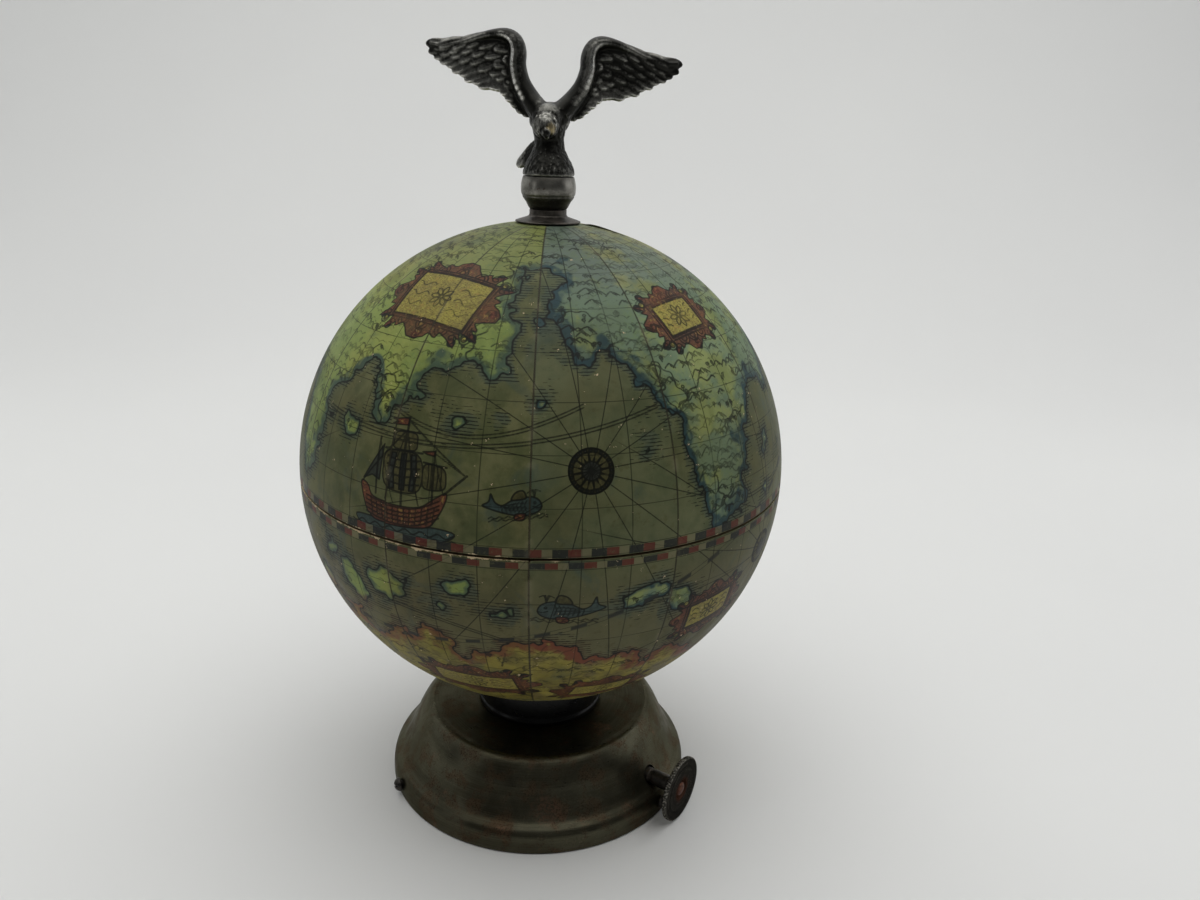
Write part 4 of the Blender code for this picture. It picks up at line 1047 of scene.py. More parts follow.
def mat_map():
    """Old printed chart on paper: washes, coast hatching, pen work, wind lines, scale bar at the joint, wear."""
    g = Graph("printed_paper")
    P = g.coords()
    p = g.vmath("SUBTRACT", P, (0.0, 0.0, GLOBE_Z))
    d = g.vmath("NORMALIZE", p)
    x, y, z = g.split(d)
    lat = g.math("ARCSINE", z) * (180 / math.pi)
    lon = g.math("ARCTAN2", x, y * -1.0) * (180 / math.pi)
    h = z * GLOBE_R                                    # height over the joint, mm
    clat = g.math("SQRT", g.max(1.0 - z * z, 0.0))
    coast, ink = g.attr("coast"), g.attr("ink")
    tone, shade, kind = g.attr("tone"), g.attr("shade"), g.attr("kind")
    broad = g.noise(p, 0.035, 3, 0.5)
    cloud = g.noise(p, 0.13, 4, 0.6)
    mott = g.noise(p, 0.9, 3, 0.65)
    fibre = g.noise(p, 4.5, 3, 0.7)

    # sea wash
    sea = g.mix(g.step(cloud * 0.6 + broad * 0.4, 0.40, 0.60), (0.100, 0.112, 0.046), (0.178, 0.178, 0.080))
    sea = g.mix(g.step(tone, 0.0, 1.0) * 0.40, sea, (0.105, 0.134, 0.080))
    sea = g.mix(g.step(lat, 4.0, -12.0) * 0.55, sea, (0.150, 0.126, 0.060))
    # land washes: yellow-green, teal, ochre
    land = g.mix(g.step(tone + (cloud - 0.5) * 0.5, 0.15, 0.85), (0.290, 0.375, 0.085), (0.165, 0.250, 0.165))
    land = g.mix(g.step(cloud * 0.5 + mott * 0.5, 0.46, 0.62) * 0.45, land, (0.185, 0.300, 0.110))
    land = g.mix(g.step(broad + (cloud - 0.5) * 0.6, 0.48, 0.66) * 0.50, land, (0.450, 0.470, 0.100))
    land = g.mix(0.14, land, (0.215, 0.235, 0.150))
    land = g.mix(g.step(lat + (cloud - 0.5) * 10.0, 46.0, 62.0), land, (0.86, 0.77, 0.94), "MULTIPLY")
    south = g.step(lat + (cloud - 0.5) * 8.0, -15.0, -20.0)
    land = g.mix(south * 0.85, land, g.mix(g.step(cloud, 0.38, 0.62), (0.172, 0.122, 0.030), (0.335, 0.268, 0.050)))
    # the wash along the shore: blue in the north, red-brown in the far south
    islet = g.step(kind, 4.4, 4.6)
    shore_in = g.step(coast + (cloud - 0.5) * g.lerp(islet, 6.0, 2.0) + (mott - 0.5) * 1.5, g.lerp(islet, 6.0, 2.2), g.lerp(islet, 0.8, 0.2))
    strong = g.step(tone + (broad - 0.5) * 0.8, 0.1, 0.8, 0.78, 0.96)
    shore = g.mix(south, (0.022, 0.058, 0.072), (0.190, 0.055, 0.028))
    land = g.mix(shore_in * strong, land, shore)
    is_land = g.step(coast, -0.1, 0.1)
    col = g.mix(is_land, sea, land)
    # uneven printing: weak and strong patches
    patchy = g.noise(p, 0.065, 4, 0.62, 0.4)
    col = g.mix(g.step(patchy, 0.50, 0.66) * 0.55, col, (0.56, 0.60, 0.56), "MULTIPLY")
    blue = g.step(g.noise(p, 0.05, 4, 0.6, 0.8), 0.54, 0.70)
    col = g.mix(blue * 0.45, col, (0.055, 0.095, 0.090))
    # a warm edge of wash on the sea side, then short level hatching
    side = g.step(coast + (cloud - 0.5) * 5.0 + (mott - 0.5) * 2.0, -3.4, 0.4) * (1.0 - is_land)
    col = g.mix(side * 0.55, col, g.mix(south, (0.040, 0.075, 0.072), (0.120, 0.062, 0.032)))
    jit = g.noise(g.join(lon * 0.55, lat * 4.0, 0.0), 1.0, 1, 0.5)
    level = g.abs(g.fract(lat * 1.45 + cloud * 0.6) - 0.5)
    reach = g.step(jit, 0.3, 0.70, 0.8, 4.6)
    hatch = g.step(level, 0.21, 0.10) * g.step(coast + reach, -0.25, 0.25) * (1.0 - is_land)
    hatch = hatch * g.step(mott, 0.31, 0.41)
    INK = (0.007, 0.008, 0.006)
    # rows of small pen waves over the land, broken up
    v = lat * 0.52 + cloud * 1.2
    rowid = g.floor(v)
    u = lon * clat * 0.40 + g.white(rowid) * 7.0 + (mott - 0.5) * 0.7
    wave = g.abs(g.fract(v) - 0.32 - g.abs(g.sin(u * math.pi)) * 0.34)
    busy = g.step(g.noise(g.join(lon * clat * 0.16, lat * 0.5, 4.0), 1.0, 2, 0.6), 0.47, 0.53)
    waves = g.step(wave, 0.11, 0.05) * busy * g.step(coast, 1.0, 2.0)
    col = g.mix(waves * 0.48, col, INK)
    col = g.mix(hatch * 0.85, col, INK)

    # flat colours of the drawn figures
    fills = {}
    for name, wash, dark_wash, keep in (("blue", (0.050, 0.088, 0.090), (0.026, 0.048, 0.056), 0.82),
                                        ("olive", (0.100, 0.092, 0.036), (0.048, 0.045, 0.020), 0.88),
                                        ("dark", (0.040, 0.048, 0.040), (0.022, 0.026, 0.024), 0.92),
                                        ("red", (0.200, 0.062, 0.034), (0.088, 0.034, 0.022), 0.90),
                                        ("yellow", (0.430, 0.390, 0.085), (0.290, 0.245, 0.066), 0.90)):
        f = g.attr(name)
        fills[name] = f
        body = g.step(f, -0.12, 0.12)
        col = g.mix(body * keep, col, g.mix(g.step(cloud * 0.4 + mott * 0.6, 0.40, 0.62), dark_wash, wash))
        rim = g.step(g.abs(f), 0.36, 0.14)
        col = g.mix(rim * 0.85, col, INK)
    # shading pen lines inside the red pieces
    tex = g.step(g.noise(g.join(lon * 1.1, lat * 4.5, 0.0), 1.0, 3, 0.7), 0.54, 0.60) * g.step(fills["red"], 0.1, 0.5)
    col = g.mix(tex * 0.75, col, (0.050, 0.026, 0.018))
    gold = g.step(g.noise(p, 0.55, 3, 0.7, 0.6), 0.58, 0.64) * g.step(fills["red"], 0.3, 0.8)
    col = g.mix(gold * 0.55, col, (0.40, 0.26, 0.07))

    # coast line, pen strokes
    line = g.step(g.abs(coast), 0.46, 0.16)
    pen = g.step(ink, 0.26, 0.02)
    heavy = g.lerp(g.step(mott, 0.3, 0.6), 0.72, 0.95)
    col = g.mix(line * heavy, col, INK)
    faded = g.step(g.noise(p, 0.055, 3, 0.55), 0.40, 0.62, 0.42, 0.95)
    pen_on = g.lerp(is_land, 0.92, faded)
    col = g.mix(pen * heavy * pen_on, col, INK)

    # meridians and parallels every ten degrees
    mer = g.abs(g.fract((lon - SEAM_LON) / 10.0 + 0.5) - 0.5) * clat * (10.0 * math.pi / 180 * GLOBE_R)
    par = g.abs(g.fract(lat / 10.0 + 0.5) - 0.5) * (10.0 * math.pi / 180 * GLOBE_R)
    net = g.max(g.step(mer, 0.26, 0.08) * g.step(clat, 0.12, 0.2), g.step(par, 0.20, 0.05))
    clear = g.step(g.max(g.max(fills["red"], fills["yellow"]), fills["dark"]), -0.3, 0.1, 1.0, 0.25)
    col = g.mix(net * clear * g.step(cloud, 0.3, 0.6, 0.42, 0.72), col, INK)

    # wind lines from each rose, fading with distance, at sea only
    winds = None
    for rl, rb, rr in ROSES:
        c, e, n = local_axes(rl, rb, 8.0)
        cc = g.vmath("DOT_PRODUCT", d, tuple(c))
        ue = g.vmath("DOT_PRODUCT", d, tuple(e))
        un = g.vmath("DOT_PRODUCT", d, tuple(n))
        ang = g.math("ARCTAN2", ue, un) * (16 / (2 * math.pi))
        rad = g.math("SQRT", ue * ue + un * un) * GLOBE_R
        off = g.abs(g.fract(ang + 0.5) - 0.5) * rad * (2 * math.pi / 16)
        w = g.step(off, 0.25, 0.07) * g.step(cc, 0.55, 0.72) * g.step(rad, rr, rr + 0.4)
        winds = w if winds is None else g.max(winds, w)
    col = g.mix(winds * (1.0 - is_land) * clear * g.step(mott, 0.25, 0.5, 0.45, 0.8), col, INK)

    # the dashed inclined circle below the joint
    slope, deep = math.tan(math.radians(23.4)), math.radians(-38.0)
    axis = Vector((slope * math.sin(deep), -slope * math.cos(deep), 1.0)).normalized()
    ec = g.vmath("DOT_PRODUCT", d, tuple(axis)) * GLOBE_R
    dash = g.step(g.abs(g.fract(lon / 7.5) - 0.5), 0.24, 0.20)
    eclip = g.max(g.step(g.abs(g.abs(ec) - 0.75), 0.18, 0.05) * 0.7, g.step(g.abs(ec), 0.68, 0.5) * dash * 0.9)
    col = g.mix(eclip * clear, col, (0.026, 0.028, 0.024))

    # scale bar on both sides of the joint: black, red, bare
    up = g.step(h, -0.05, 0.05)
    slot_ = g.fract((lon - SEAM_LON) / 7.5 + up * 0.42)
    rise = g.abs(h)
    row = g.step(rise, 3.05, 2.85) * g.step(rise, g.lerp(up, 0.95, 0.45), g.lerp(up, 1.15, 0.6))
    black = g.step(slot_, 0.0, 0.01) * g.step(slot_, 0.41, 0.40)
    red = g.step(slot_, 0.40, 0.41) * g.step(slot_, 0.74, 0.73)
    bare = g.step(slot_, 0.73, 0.74)
    worn = g.step(mott, 0.30, 0.44, 0.55, 1.0)
    col = g.mix(row * bare * 0.55, col, (0.230, 0.205, 0.118))
    col = g.mix(row * black * 0.9 * worn, col, (0.022, 0.024, 0.024))
    col = g.mix(row * red * 0.88 * worn, col, (0.135, 0.030, 0.022))
    rule = g.max(g.step(g.abs(rise - 3.25), 0.16, 0.05), g.step(g.abs(rise - 0.8), 0.14, 0.04))
    col = g.mix(rule * 0.7, col, INK)

    # age: paper joints, varnish tone, rubbing, flecks down to the cream paper
    seam = g.attr("seam")
    col = g.mix(g.step(seam + (mott - 0.5) * 0.3, 0.42, 0.08) * 0.7, col, (0.040, 0.036, 0.022))
    lift = g.step(seam + (cloud - 0.5) * 3.0, 2.2, 0.2) * g.step(cloud, 0.52, 0.66)
    col = g.mix(lift * 0.22, col, (0.36, 0.33, 0.22))
    col = g.mix(g.step(shade, 0.0, 1.0) * 0.30, col, (0.42, 0.42, 0.40), "MULTIPLY")
    grime = g.step(g.noise(p, 0.022, 4, 0.6), 0.46, 0.70)
    col = g.mix(grime * 0.55, col, (0.62, 0.52, 0.36), "MULTIPLY")
    spots = g.step(g.noise(p, 0.30, 4, 0.7), 0.56, 0.70)
    col = g.mix(spots * 0.35, col, (0.55, 0.47, 0.34), "MULTIPLY")
    col = g.mix(fibre, col, (0.72, 0.72, 0.70), "MULTIPLY")
    chip_n = g.noise(p, 0.42, 4, 0.75)
    chip = g.step(chip_n, 0.684, 0.702)
    edge_wear = g.step(g.abs(h) + (g.noise(p, 0.5, 3, 0.7) - 0.5) * 3.2 + up * 0.35, 0.74, 0.40)
    edge_wear = edge_wear * g.max(g.step(lon, 2.0, -4.0), g.step(g.noise(g.join(lon * 0.11, h * 0.1, 2.0), 1.0, 2, 0.6), 0.54, 0.62))
    seam_wear = g.step(seam + (g.noise(p, 0.35, 3, 0.7) - 0.5) * 4.0, -0.75, -0.95)
    wear = g.max(g.max(chip, edge_wear * 0.9), seam_wear * 0.8)
    col = g.mix(wear, col, (0.560, 0.440, 0.270))
    rough = g.step(cloud, 0.3, 0.7, 0.42, 0.56) + wear * 0.25 + (mott - 0.5) * 0.1
    n = g.bump(fibre * 0.35 + mott * 0.5 - wear * 0.8 - pen * 0.1, 0.22, 0.00016)
    return g.set(color=col, rough=rough, normal=n, spec=0.12)


def notch_depth(xmm):
    u = np.clip(np.abs(xmm - NOTCH_X) / NOTCH_R, 0, 1)
    return NOTCH_R * np.sqrt(np.clip(1 - u ** 2, 0, 1))


def gore_mesh(name, index, upper, fields, spacing):
    """One printed paper gore: a fine outer face, a coarse inner face and closed edges."""
    R1, R0 = GLOBE_R, GLOBE_R - PAPER_T
    gap = math.degrees(0.035 / GLOBE_R)
    lon0 = SEAM_LON + index * 30.0 + gap
    lon1 = SEAM_LON + (index + 1) * 30.0 - gap
    fine = 8
    nj = int(round(43.2 / spacing / fine)) * fine
    ni = int(round(127.0 / spacing / fine)) * fine
    lat_rim = math.degrees(math.asin(SEAM / 2 / R1))
    hole = 2.3 + 0.5 if upper else 3.6 + 0.5
    lat_top = 90.0 - math.degrees(hole / R1)
    j = np.arange(nj + 1) / nj
    i = np.arange(ni + 1) / ni
    lon = lon0 + (lon1 - lon0) * j
    sign = 1.0 if upper else -1.0
    L, T = np.meshgrid(lon, i)
    lat = lat_rim + (lat_top - lat_rim) * T
    if not upper:
        dip = np.degrees(notch_depth(R1 * np.sin(np.radians(L))) / R1) * (np.abs(L) < 20)
        lat = lat + dip * np.clip(1 - T / 0.07, 0, 1)
    la, lo = np.radians(sign * lat), np.radians(L)
    d = np.stack([np.sin(lo) * np.cos(la), -np.cos(lo) * np.cos(la), np.sin(la)], -1)
    # one gore has come unstuck beside the finial and its edge stands up a little
    off_axis = R1 * np.cos(la)
    curl = np.zeros_like(L)
    if upper and abs((lon0 - 92.0 + 180) % 360 - 180) < 15:
        from_edge = np.radians(L - lon0) * off_axis
        curl = 0.60 * np.exp(-(from_edge / 2.6) ** 2) * np.clip((off_axis - 10.8) / 3.0, 0, 1) * np.clip((26.0 - off_axis) / 10.0, 0, 1)
    outer = (d * (R1 + curl)[..., None]).reshape(-1, 3)
    cj, ci = np.arange(0, nj + 1, fine), np.arange(0, ni + 1, fine)
    inner = (d[np.ix_(ci, cj)] * (R0 + curl[np.ix_(ci, cj)])[..., None]).reshape(-1, 3)
    n_out = len(outer)
    O = np.arange(n_out).reshape(ni + 1, nj + 1)
    I = n_out + np.arange(len(inner)).reshape(len(ci), len(cj))
    q1 = np.stack([O[:-1, :-1], O[:-1, 1:], O[1:, 1:], O[1:, :-1]], -1).reshape(-1, 4)
    q2 = np.stack([I[:-1, :-1], I[1:, :-1], I[1:, 1:], I[:-1, 1:]], -1).reshape(-1, 4)
    tris = []

    def wall(f, c):
        for k in range(len(c) - 1):
            a, b = c[k], c[k + 1]
            run = f[k * fine:(k + 1) * fine + 1]
            mid = fine // 2
            for m in range(fine):
                tris.append((run[m + 1], run[m], a if m < mid else b))
            tris.append((run[mid], a, b))

    wall(O[0, :], I[0, :])
    wall(O[-1, ::-1], I[-1, ::-1])
    wall(O[:, -1], I[:, -1])
    wall(O[::-1, 0], I[::-1, 0])
    quads, tris = np.concatenate([q1, q2]), np.array(tris)
    if not upper:
        quads, tris = quads[:, ::-1], tris[:, ::-1]
    co = np.concatenate([outer, inner])
    me = mesh_from(name, co + np.array([0, 0, GLOBE_Z]), quads, tris)
    unit = co / np.linalg.norm(co, axis=1)[:, None] * R1
    made = fields(unit, upper)
    # the shore field made even, so that its line keeps one width
    F = made["coast"][:n_out].reshape(ni + 1, nj + 1)
    gi = np.gradient(F, math.radians(lat_top - lat_rim) / ni * R1, axis=0)
    gj = np.gradient(F, axis=1) / (math.radians(lon1 - lon0) / nj * R1 * np.maximum(np.cos(la), 0.03))
    slope = np.clip(np.sqrt(gi ** 2 + gj ** 2), 0.8, 3.5)
    weight = np.clip(1.0 - (np.abs(F) - 1.5) / 3.0, 0, 1)
    made["coast"][:n_out] = (F / (1 + (slope - 1) * weight)).ravel()
    for key, values in made.items():
        point_attribute(me, key, values)
    alllon = np.degrees(np.arctan2(co[:, 0], -co[:, 1]))
    mid_lon = (lon0 + lon1) / 2
    off = (alllon - mid_lon + 180) % 360 - 180
    half = (lon1 - lon0) / 2
    point_attribute(me, "seam", (half - np.abs(off)) * math.pi / 180 * R1 * np.sqrt(np.maximum(1 - (unit[:, 2] / R1) ** 2, 0)))
    me.set_sharp_from_angle(angle=math.radians(50))
    return me


def build_globe(M):
    rng = np.random.default_rng(41)
    coast = CoastField(make_coasts())
    art = make_art(coast, rng)
    shift = rng.uniform(-1, 1, (2, GORES))
    # the wash differs from gore to gore: greener yellow to the left of the front joint, teal to its right
    tones = {0: 0.92, 1: 0.80, 2: 0.72, 3: 0.40, 4: 0.20, 5: 0.50, 6: 0.65, 7: 0.30, 8: 0.10, 9: 0.35, 10: 0.22, 11: 0.10}

    made = []
    for upper in (True, False):
        for k in range(GORES):
            mid = SEAM_LON + 30 * k + 15
            mid = (mid + 180) % 360 - 180
            spacing = 0.35 if abs(mid) < 65 else (0.45 if abs(mid) < 95 else 0.60)
            s = shift[0 if upper else 1][k]
            # each gore was pasted a hair out of true, so the print steps at the joints
            slip = math.radians(s * 0.45)
            rise = float(shift[1 if upper else 0][k]) * 0.35

            def fields(q, up, s=s, k=k, slip=slip, rise=rise):
                cs, sn = math.cos(slip), math.sin(slip)
                r = np.c_[q[:, 0] * cs - q[:, 1] * sn, q[:, 0] * sn + q[:, 1] * cs, q[:, 2] + rise]
                r *= (GLOBE_R / np.linalg.norm(r, axis=1))[:, None]
                sd, kind = coast(r)
                out = {"coast": np.clip(sd, -12, 14), "kind": kind, "ink": art.ink(r)}
                for c in Art.COLOURS:
                    out[c] = art.field(c, r)
                out["tone"] = np.full(len(q), tones[k] + 0.06 * s)
                out["shade"] = np.full(len(q), 0.5 + 0.5 * s)
                return out

            name = ("upper" if upper else "lower") + "_gore_%02d" % (k + 1)
            me = gore_mesh(name, k, upper, fields, spacing)
            made.append(new_object(name, me, M["map"], "lid" if upper else "globe"))

    # the pressed-board half shells under the paper
    for upper in (True, False):
        sgn = 1.0 if upper else -1.0
        hole = 2.3 if upper else 3.6
        Ro, Ri = GLOBE_R - PAPER_T - 0.03, BOARD_IN
        n = 64
        a0o, a0i = math.asin(SEAM / 2 / Ro), math.asin(SEAM / 2 / Ri)
        a1o, a1i = math.acos(hole / Ro), math.acos(hole / Ri)
        po = [(Ro * math.cos(a0o + (a1o - a0o) * t / n), GLOBE_Z + sgn * Ro * math.sin(a0o + (a1o - a0o) * t / n)) for t in range(n + 1)]
        pi_ = [(Ri * math.cos(a1i + (a0i - a1i) * t / n), GLOBE_Z + sgn * Ri * math.sin(a1i + (a0i - a1i) * t / n)) for t in range(n + 1)]
        steps = 360
        co, quads, tris, edge = lathe_arrays(po + pi_, steps, True)
        if not upper:
            # the thumb notch in the front of the lower rim
            front = (co[:, 1] < 0)
            dip = notch_depth(co[:, 0]) * front
            below = GLOBE_Z - SEAM / 2 - co[:, 2]
            co[:, 2] -= dip * np.clip(1 - below / 8.0, 0, 1)
        name = "upper_board_shell" if upper else "lower_board_shell"
        me = mesh_from(name, co, quads, tris)
        point_attribute(me, "edge", edge)
        me.set_sharp_from_angle(angle=math.radians(40))
        made.append(new_object(name, me, M["board"], "lid" if upper else "globe",
                               ["globe_upper_shell" if upper else "globe_lower_shell"]))
    return made


# ---------------------------------------------------------------------------
# the eagle: feathers, arms, body and head as overlapping closed forms, then one skin
# ---------------------------------------------------------------------------
class Soup:
    """Closed forms gathered into one mesh."""

    def __init__(self):
        self.co, self.quads, self.tris, self.n = [], [], [], 0

    def add(self, co, quads=None, tris=None):
        if quads is not None and len(quads):
            self.quads.append(np.asarray(quads) + self.n)
        if tris is not None and len(tris):
            self.tris.append(np.asarray(tris) + self.n)
        self.co.append(np.asarray(co, float))
        self.n += len(co)

    def ellipsoid(self, centre, radii, turn=None, nu=24, nv=14):
        prof = [(math.sin(math.pi * k / nv), math.cos(math.pi * k / nv)) for k in range(nv + 1)]
        prof[0], prof[-1] = (0, 1), (0, -1)
        co, q, t, _ = lathe_arrays(prof, nu)
        co = co * np.array(radii)
        if turn is not None:
            co = co @ np.array(turn).T
        self.add(co + np.array(centre), q, t)

    def tube(self, pts, radii, nu=14, flat=None):
        """A round tube with domed ends through 3D points."""
        pts, radii = np.asarray(pts, float), np.asarray(radii, float)
        tan = np.gradient(pts, axis=0)
        tan /= np.linalg.norm(tan, axis=1)[:, None]
        up = np.array([0.0, 1.0, 0.0])
        rings = []
        for p, t, r in zip(pts, tan, radii):
            a = np.cross(up, t)
            a /= np.linalg.norm(a)
            b = np.cross(t, a)
            k = np.arange(nu) / nu * 2 * math.pi
            fy = 1.0 if flat is None else flat
            rings.append(p + r * (np.cos(k)[:, None] * a + fy * np.sin(k)[:, None] * b))
        co = [pts[0] - tan[0] * radii[0] * 0.8] + list(np.concatenate(rings)) + [pts[-1] + tan[-1] * radii[-1] * 0.8]
        q, t_, m = [], [], len(pts)
        for i in range(m - 1):
            for k in range(nu):
                a, b = 1 + i * nu + k, 1 + i * nu + (k + 1) % nu
                q.append((a, b, b + nu, a + nu))
        for k in range(nu):
            t_.append((0, 1 + (k + 1) % nu, 1 + k))
            e = 1 + (m - 1) * nu
            t_.append((e + k, e + (k + 1) % nu, len(co) - 1))
        self.add(np.array(co), q, t_)

    def leaf(self, root, tip, width, thick, lean=0.0, normal=(0.0, 1.0, 0.0), bow=0.0, blunt=0.30, nt=12, nw=10, skew=0.0):
        """A feather: a blade from root to tip with a rounded end, thickest near the tip so that rows lap like shingles.
        skew raises one long edge over its neighbour."""
        root, tip, normal = np.asarray(root, float), np.asarray(tip, float), np.asarray(normal, float)
        ax = tip - root
        length = np.linalg.norm(ax)
        ax /= length
        side = np.cross(normal, ax)
        side /= np.linalg.norm(side)
        nor = np.cross(ax, side)
        top, bot = [], []
        ts = np.r_[np.linspace(0, 0.8, nt - 4), 0.88, 0.94, 0.98, 1.0]
        for t in ts:
            w = width * (0.55 + 0.45 * min(t / 0.5, 1.0)) * (math.sqrt(max(1 - ((t - (1 - blunt)) / blunt) ** 2, 0.0)) if t > 1 - blunt else 1.0)
            c = root + ax * length * t + side * bow * math.sin(math.pi * t) + nor * lean * t
            for k in range(nw + 1):
                u = -1 + 2 * k / nw
                h = thick * (1 - abs(u) ** 2.6) ** 0.5 * (0.52 + 0.48 * min(t / 0.8, 1.0)) * (1 + skew * u) + 0.02
                # a fine groove along the quill
                h *= 1 - 0.16 * math.exp(-(u / 0.16) ** 2) * (0.2 < t < 0.95)
                if t > 0.9:
                    h *= 0.86 if t < 0.96 else (0.66 if t < 0.99 else 0.3)
                top.append(c + side * u * max(w, 0.02) + nor * h)
                bot.append(c + side * u * max(w, 0.02) - nor * h)
        m, w1 = len(ts), nw + 1
        T = np.arange(m * w1).reshape(m, w1)
        B = T + m * w1
        q = []
        for i in range(m - 1):
            for k in range(nw):
                q.append((T[i, k], T[i, k + 1], T[i + 1, k + 1], T[i + 1, k]))
                q.append((B[i, k], B[i + 1, k], B[i + 1, k + 1], B[i, k + 1]))
            q.append((T[i, 0], T[i + 1, 0], B[i + 1, 0], B[i, 0]))
            q.append((T[i, nw], B[i, nw], B[i + 1, nw], T[i + 1, nw]))
        for k in range(nw):
            q.append((T[0, k], B[0, k], B[0, k + 1], T[0, k + 1]))
            q.append((T[m - 1, k], T[m - 1, k + 1], B[m - 1, k + 1], B[m - 1, k]))
        self.add(np.array(top + bot), q)

    def mesh(self, name):
        q = np.concatenate(self.quads) if self.quads else None
        t = np.concatenate(self.tris) if self.tris else None
        return mesh_from(name, np.concatenate(self.co), q, t)


ARM = [(3.2, 238.5), (6.6, 242.0), (9.6, 246.6), (11.0, 251.5), (11.0, 255.6), (12.2, 258.6), (14.8, 260.0), (19.0, 259.8), (23.5, 258.6),
       (28.7, 256.8), (34.5, 255.7), (39.2, 256.0)]
ARM_R = [3.5, 3.2, 2.8, 2.6, 2.5, 2.3, 1.95, 1.5, 1.2, 0.98, 0.85, 0.75]
TRAIL = [(40.2, 256.2), (38.6, 252.6), (34.4, 250.0), (30.6, 248.0), (26.7, 246.2), (23.0, 245.1), (18.9, 244.9), (15.0, 242.4), (11.8, 239.4),
         (7.0, 236.6)]
WING_Y = 1.6
BANK, SWEEP = math.radians(2.6), math.radians(8.0)
PIVOT = np.array([0.0, 0.8, 238.0])


def poly_at(pts, t):
    """A point at share t of the length of a smooth run through pts."""
    c = curve2(pts, 8, False)
    s = np.r_[0, np.cumsum(np.linalg.norm(np.diff(c, axis=0), axis=1))]
    s /= s[-1]
    return np.array([np.interp(t, s, c[:, 0]), np.interp(t, s, c[:, 1])])


def wing_pose(co, side):
    """Points drawn for a flat right wing, dished, swept, mirrored for the left and banked."""
    co = np.array(co, float)
    # the wing dishes forward a little towards its tip and droops at the trailing edge
    dish = np.clip((co[:, 0] - 8) / 32, 0, 1)
    co[:, 1] += -1.2 * np.sin(dish * math.pi * 0.9)
    back = np.array(Matrix.Rotation(SWEEP, 3, "Z"))
    root = np.array([4.0, WING_Y, 0])
    co = (co - root) @ back.T + root
    if side < 0:
        co = co * np.array([-1, 1, 1])
    bank = np.array(Matrix.Rotation(BANK, 3, "Y"))
    return (co - PIVOT) @ bank.T + PIVOT


def build_wing(soup, side):
    """Feathers in overlapping rows between the arm and the trailing edge, drawn for the right and mirrored for the left."""
    part = Soup()
    y0 = WING_Y
    arm3 = np.array([(x, y0 - 0.9 + 0.5 * min(k / 4, 1), z) for k, (x, z) in enumerate(curve2(ARM, 4, False))])
    rad = np.interp(np.linspace(0, 1, len(arm3)), np.linspace(0, 1, len(ARM_R)), ARM_R)
    part.tube(arm3, rad, 22)
    limb = part.co[-1]
    deep = np.interp(limb[:, 2], [238, 252], [1.25, 1.55])
    limb[:, 1] = (y0 - 0.7) + (limb[:, 1] - (y0 - 0.7)) * deep

    def spot(a, f):
        """Point a share f of the way from the arm to the trailing edge, at place a along the wing: 0 tip, 1 body."""
        p = poly_at(ARM[::-1], a ** 0.9 if a < 1 else 1.0)
        q = poly_at(TRAIL, a)
        return p + (q - p) * f

    # long flight feathers, tip to body
    n1 = 17
    for k in range(n1):
        a = (k + 0.15) / n1
        tip = spot(a, 1.03 + (0.025 if k % 2 else -0.015))
        root = spot(min(1.0, a + (0.20 if a < 0.6 else 0.10)), 0.22)
        if k < 3:
            tip = tip + (tip - root) / np.linalg.norm(tip - root) * (0.9 - 0.3 * k)
        part.leaf((root[0], y0, root[1]), (tip[0], y0 + 0.1, tip[1]), 1.72 + 0.3 * math.sin(math.pi * min(a * 1.3, 1)), 0.85, bow=-0.3, skew=0.25)
    # rows of coverts, each standing prouder than the one outside it
    for row, (f0, f1, n, w, th) in enumerate(((0.06, 0.74, 12, 2.15, 1.12), (0.0, 0.52, 11, 2.0, 1.42), (-0.06, 0.31, 10, 1.8, 1.72))):
        for k in range(n):
            a = (k + 0.55 + 0.25 * (row % 2)) / (n + 0.4)
            tip = spot(min(a, 0.98), f1 + (0.03 if k % 2 else -0.02))
            root = spot(min(1.0, a + (0.16 if a < 0.6 else 0.09)), f0)
            # shorter, flatter and finer next to the arm
            slim = min(max((a - 0.55) / 0.3, 0.0), 1.0)
            part.leaf((root[0], y0, root[1]), (tip[0], y0, tip[1]), w * (1 - 0.30 * slim), th * (1 - 0.42 * slim), bow=-0.2, skew=0.22)
    # a thin web so that no light shows between feathers
    web_a = np.linspace(0.03, 0.97, 26)
    for a0, a1 in zip(web_a[:-1], web_a[1:]):
        c = [spot(a0, -0.05), spot(a1, -0.05), spot(a1, 0.86), spot(a0, 0.86)]
        co = [(p[0], y0 - 0.45, p[1]) for p in c] + [(p[0], y0 + 0.45, p[1]) for p in c]
        part.add(np.array(co), [(0, 1, 2, 3), (7, 6, 5, 4), (0, 4, 5, 1), (1, 5, 6, 2), (2, 6, 7, 3), (3, 7, 4, 0)])
    quads = np.concatenate(part.quads)
    tris = np.concatenate(part.tris) if part.tris else np.zeros((0, 3), int)
    if side < 0:
        quads, tris = quads[:, ::-1], tris[:, ::-1]
    soup.add(wing_pose(np.concatenate(part.co), side), quads, tris)


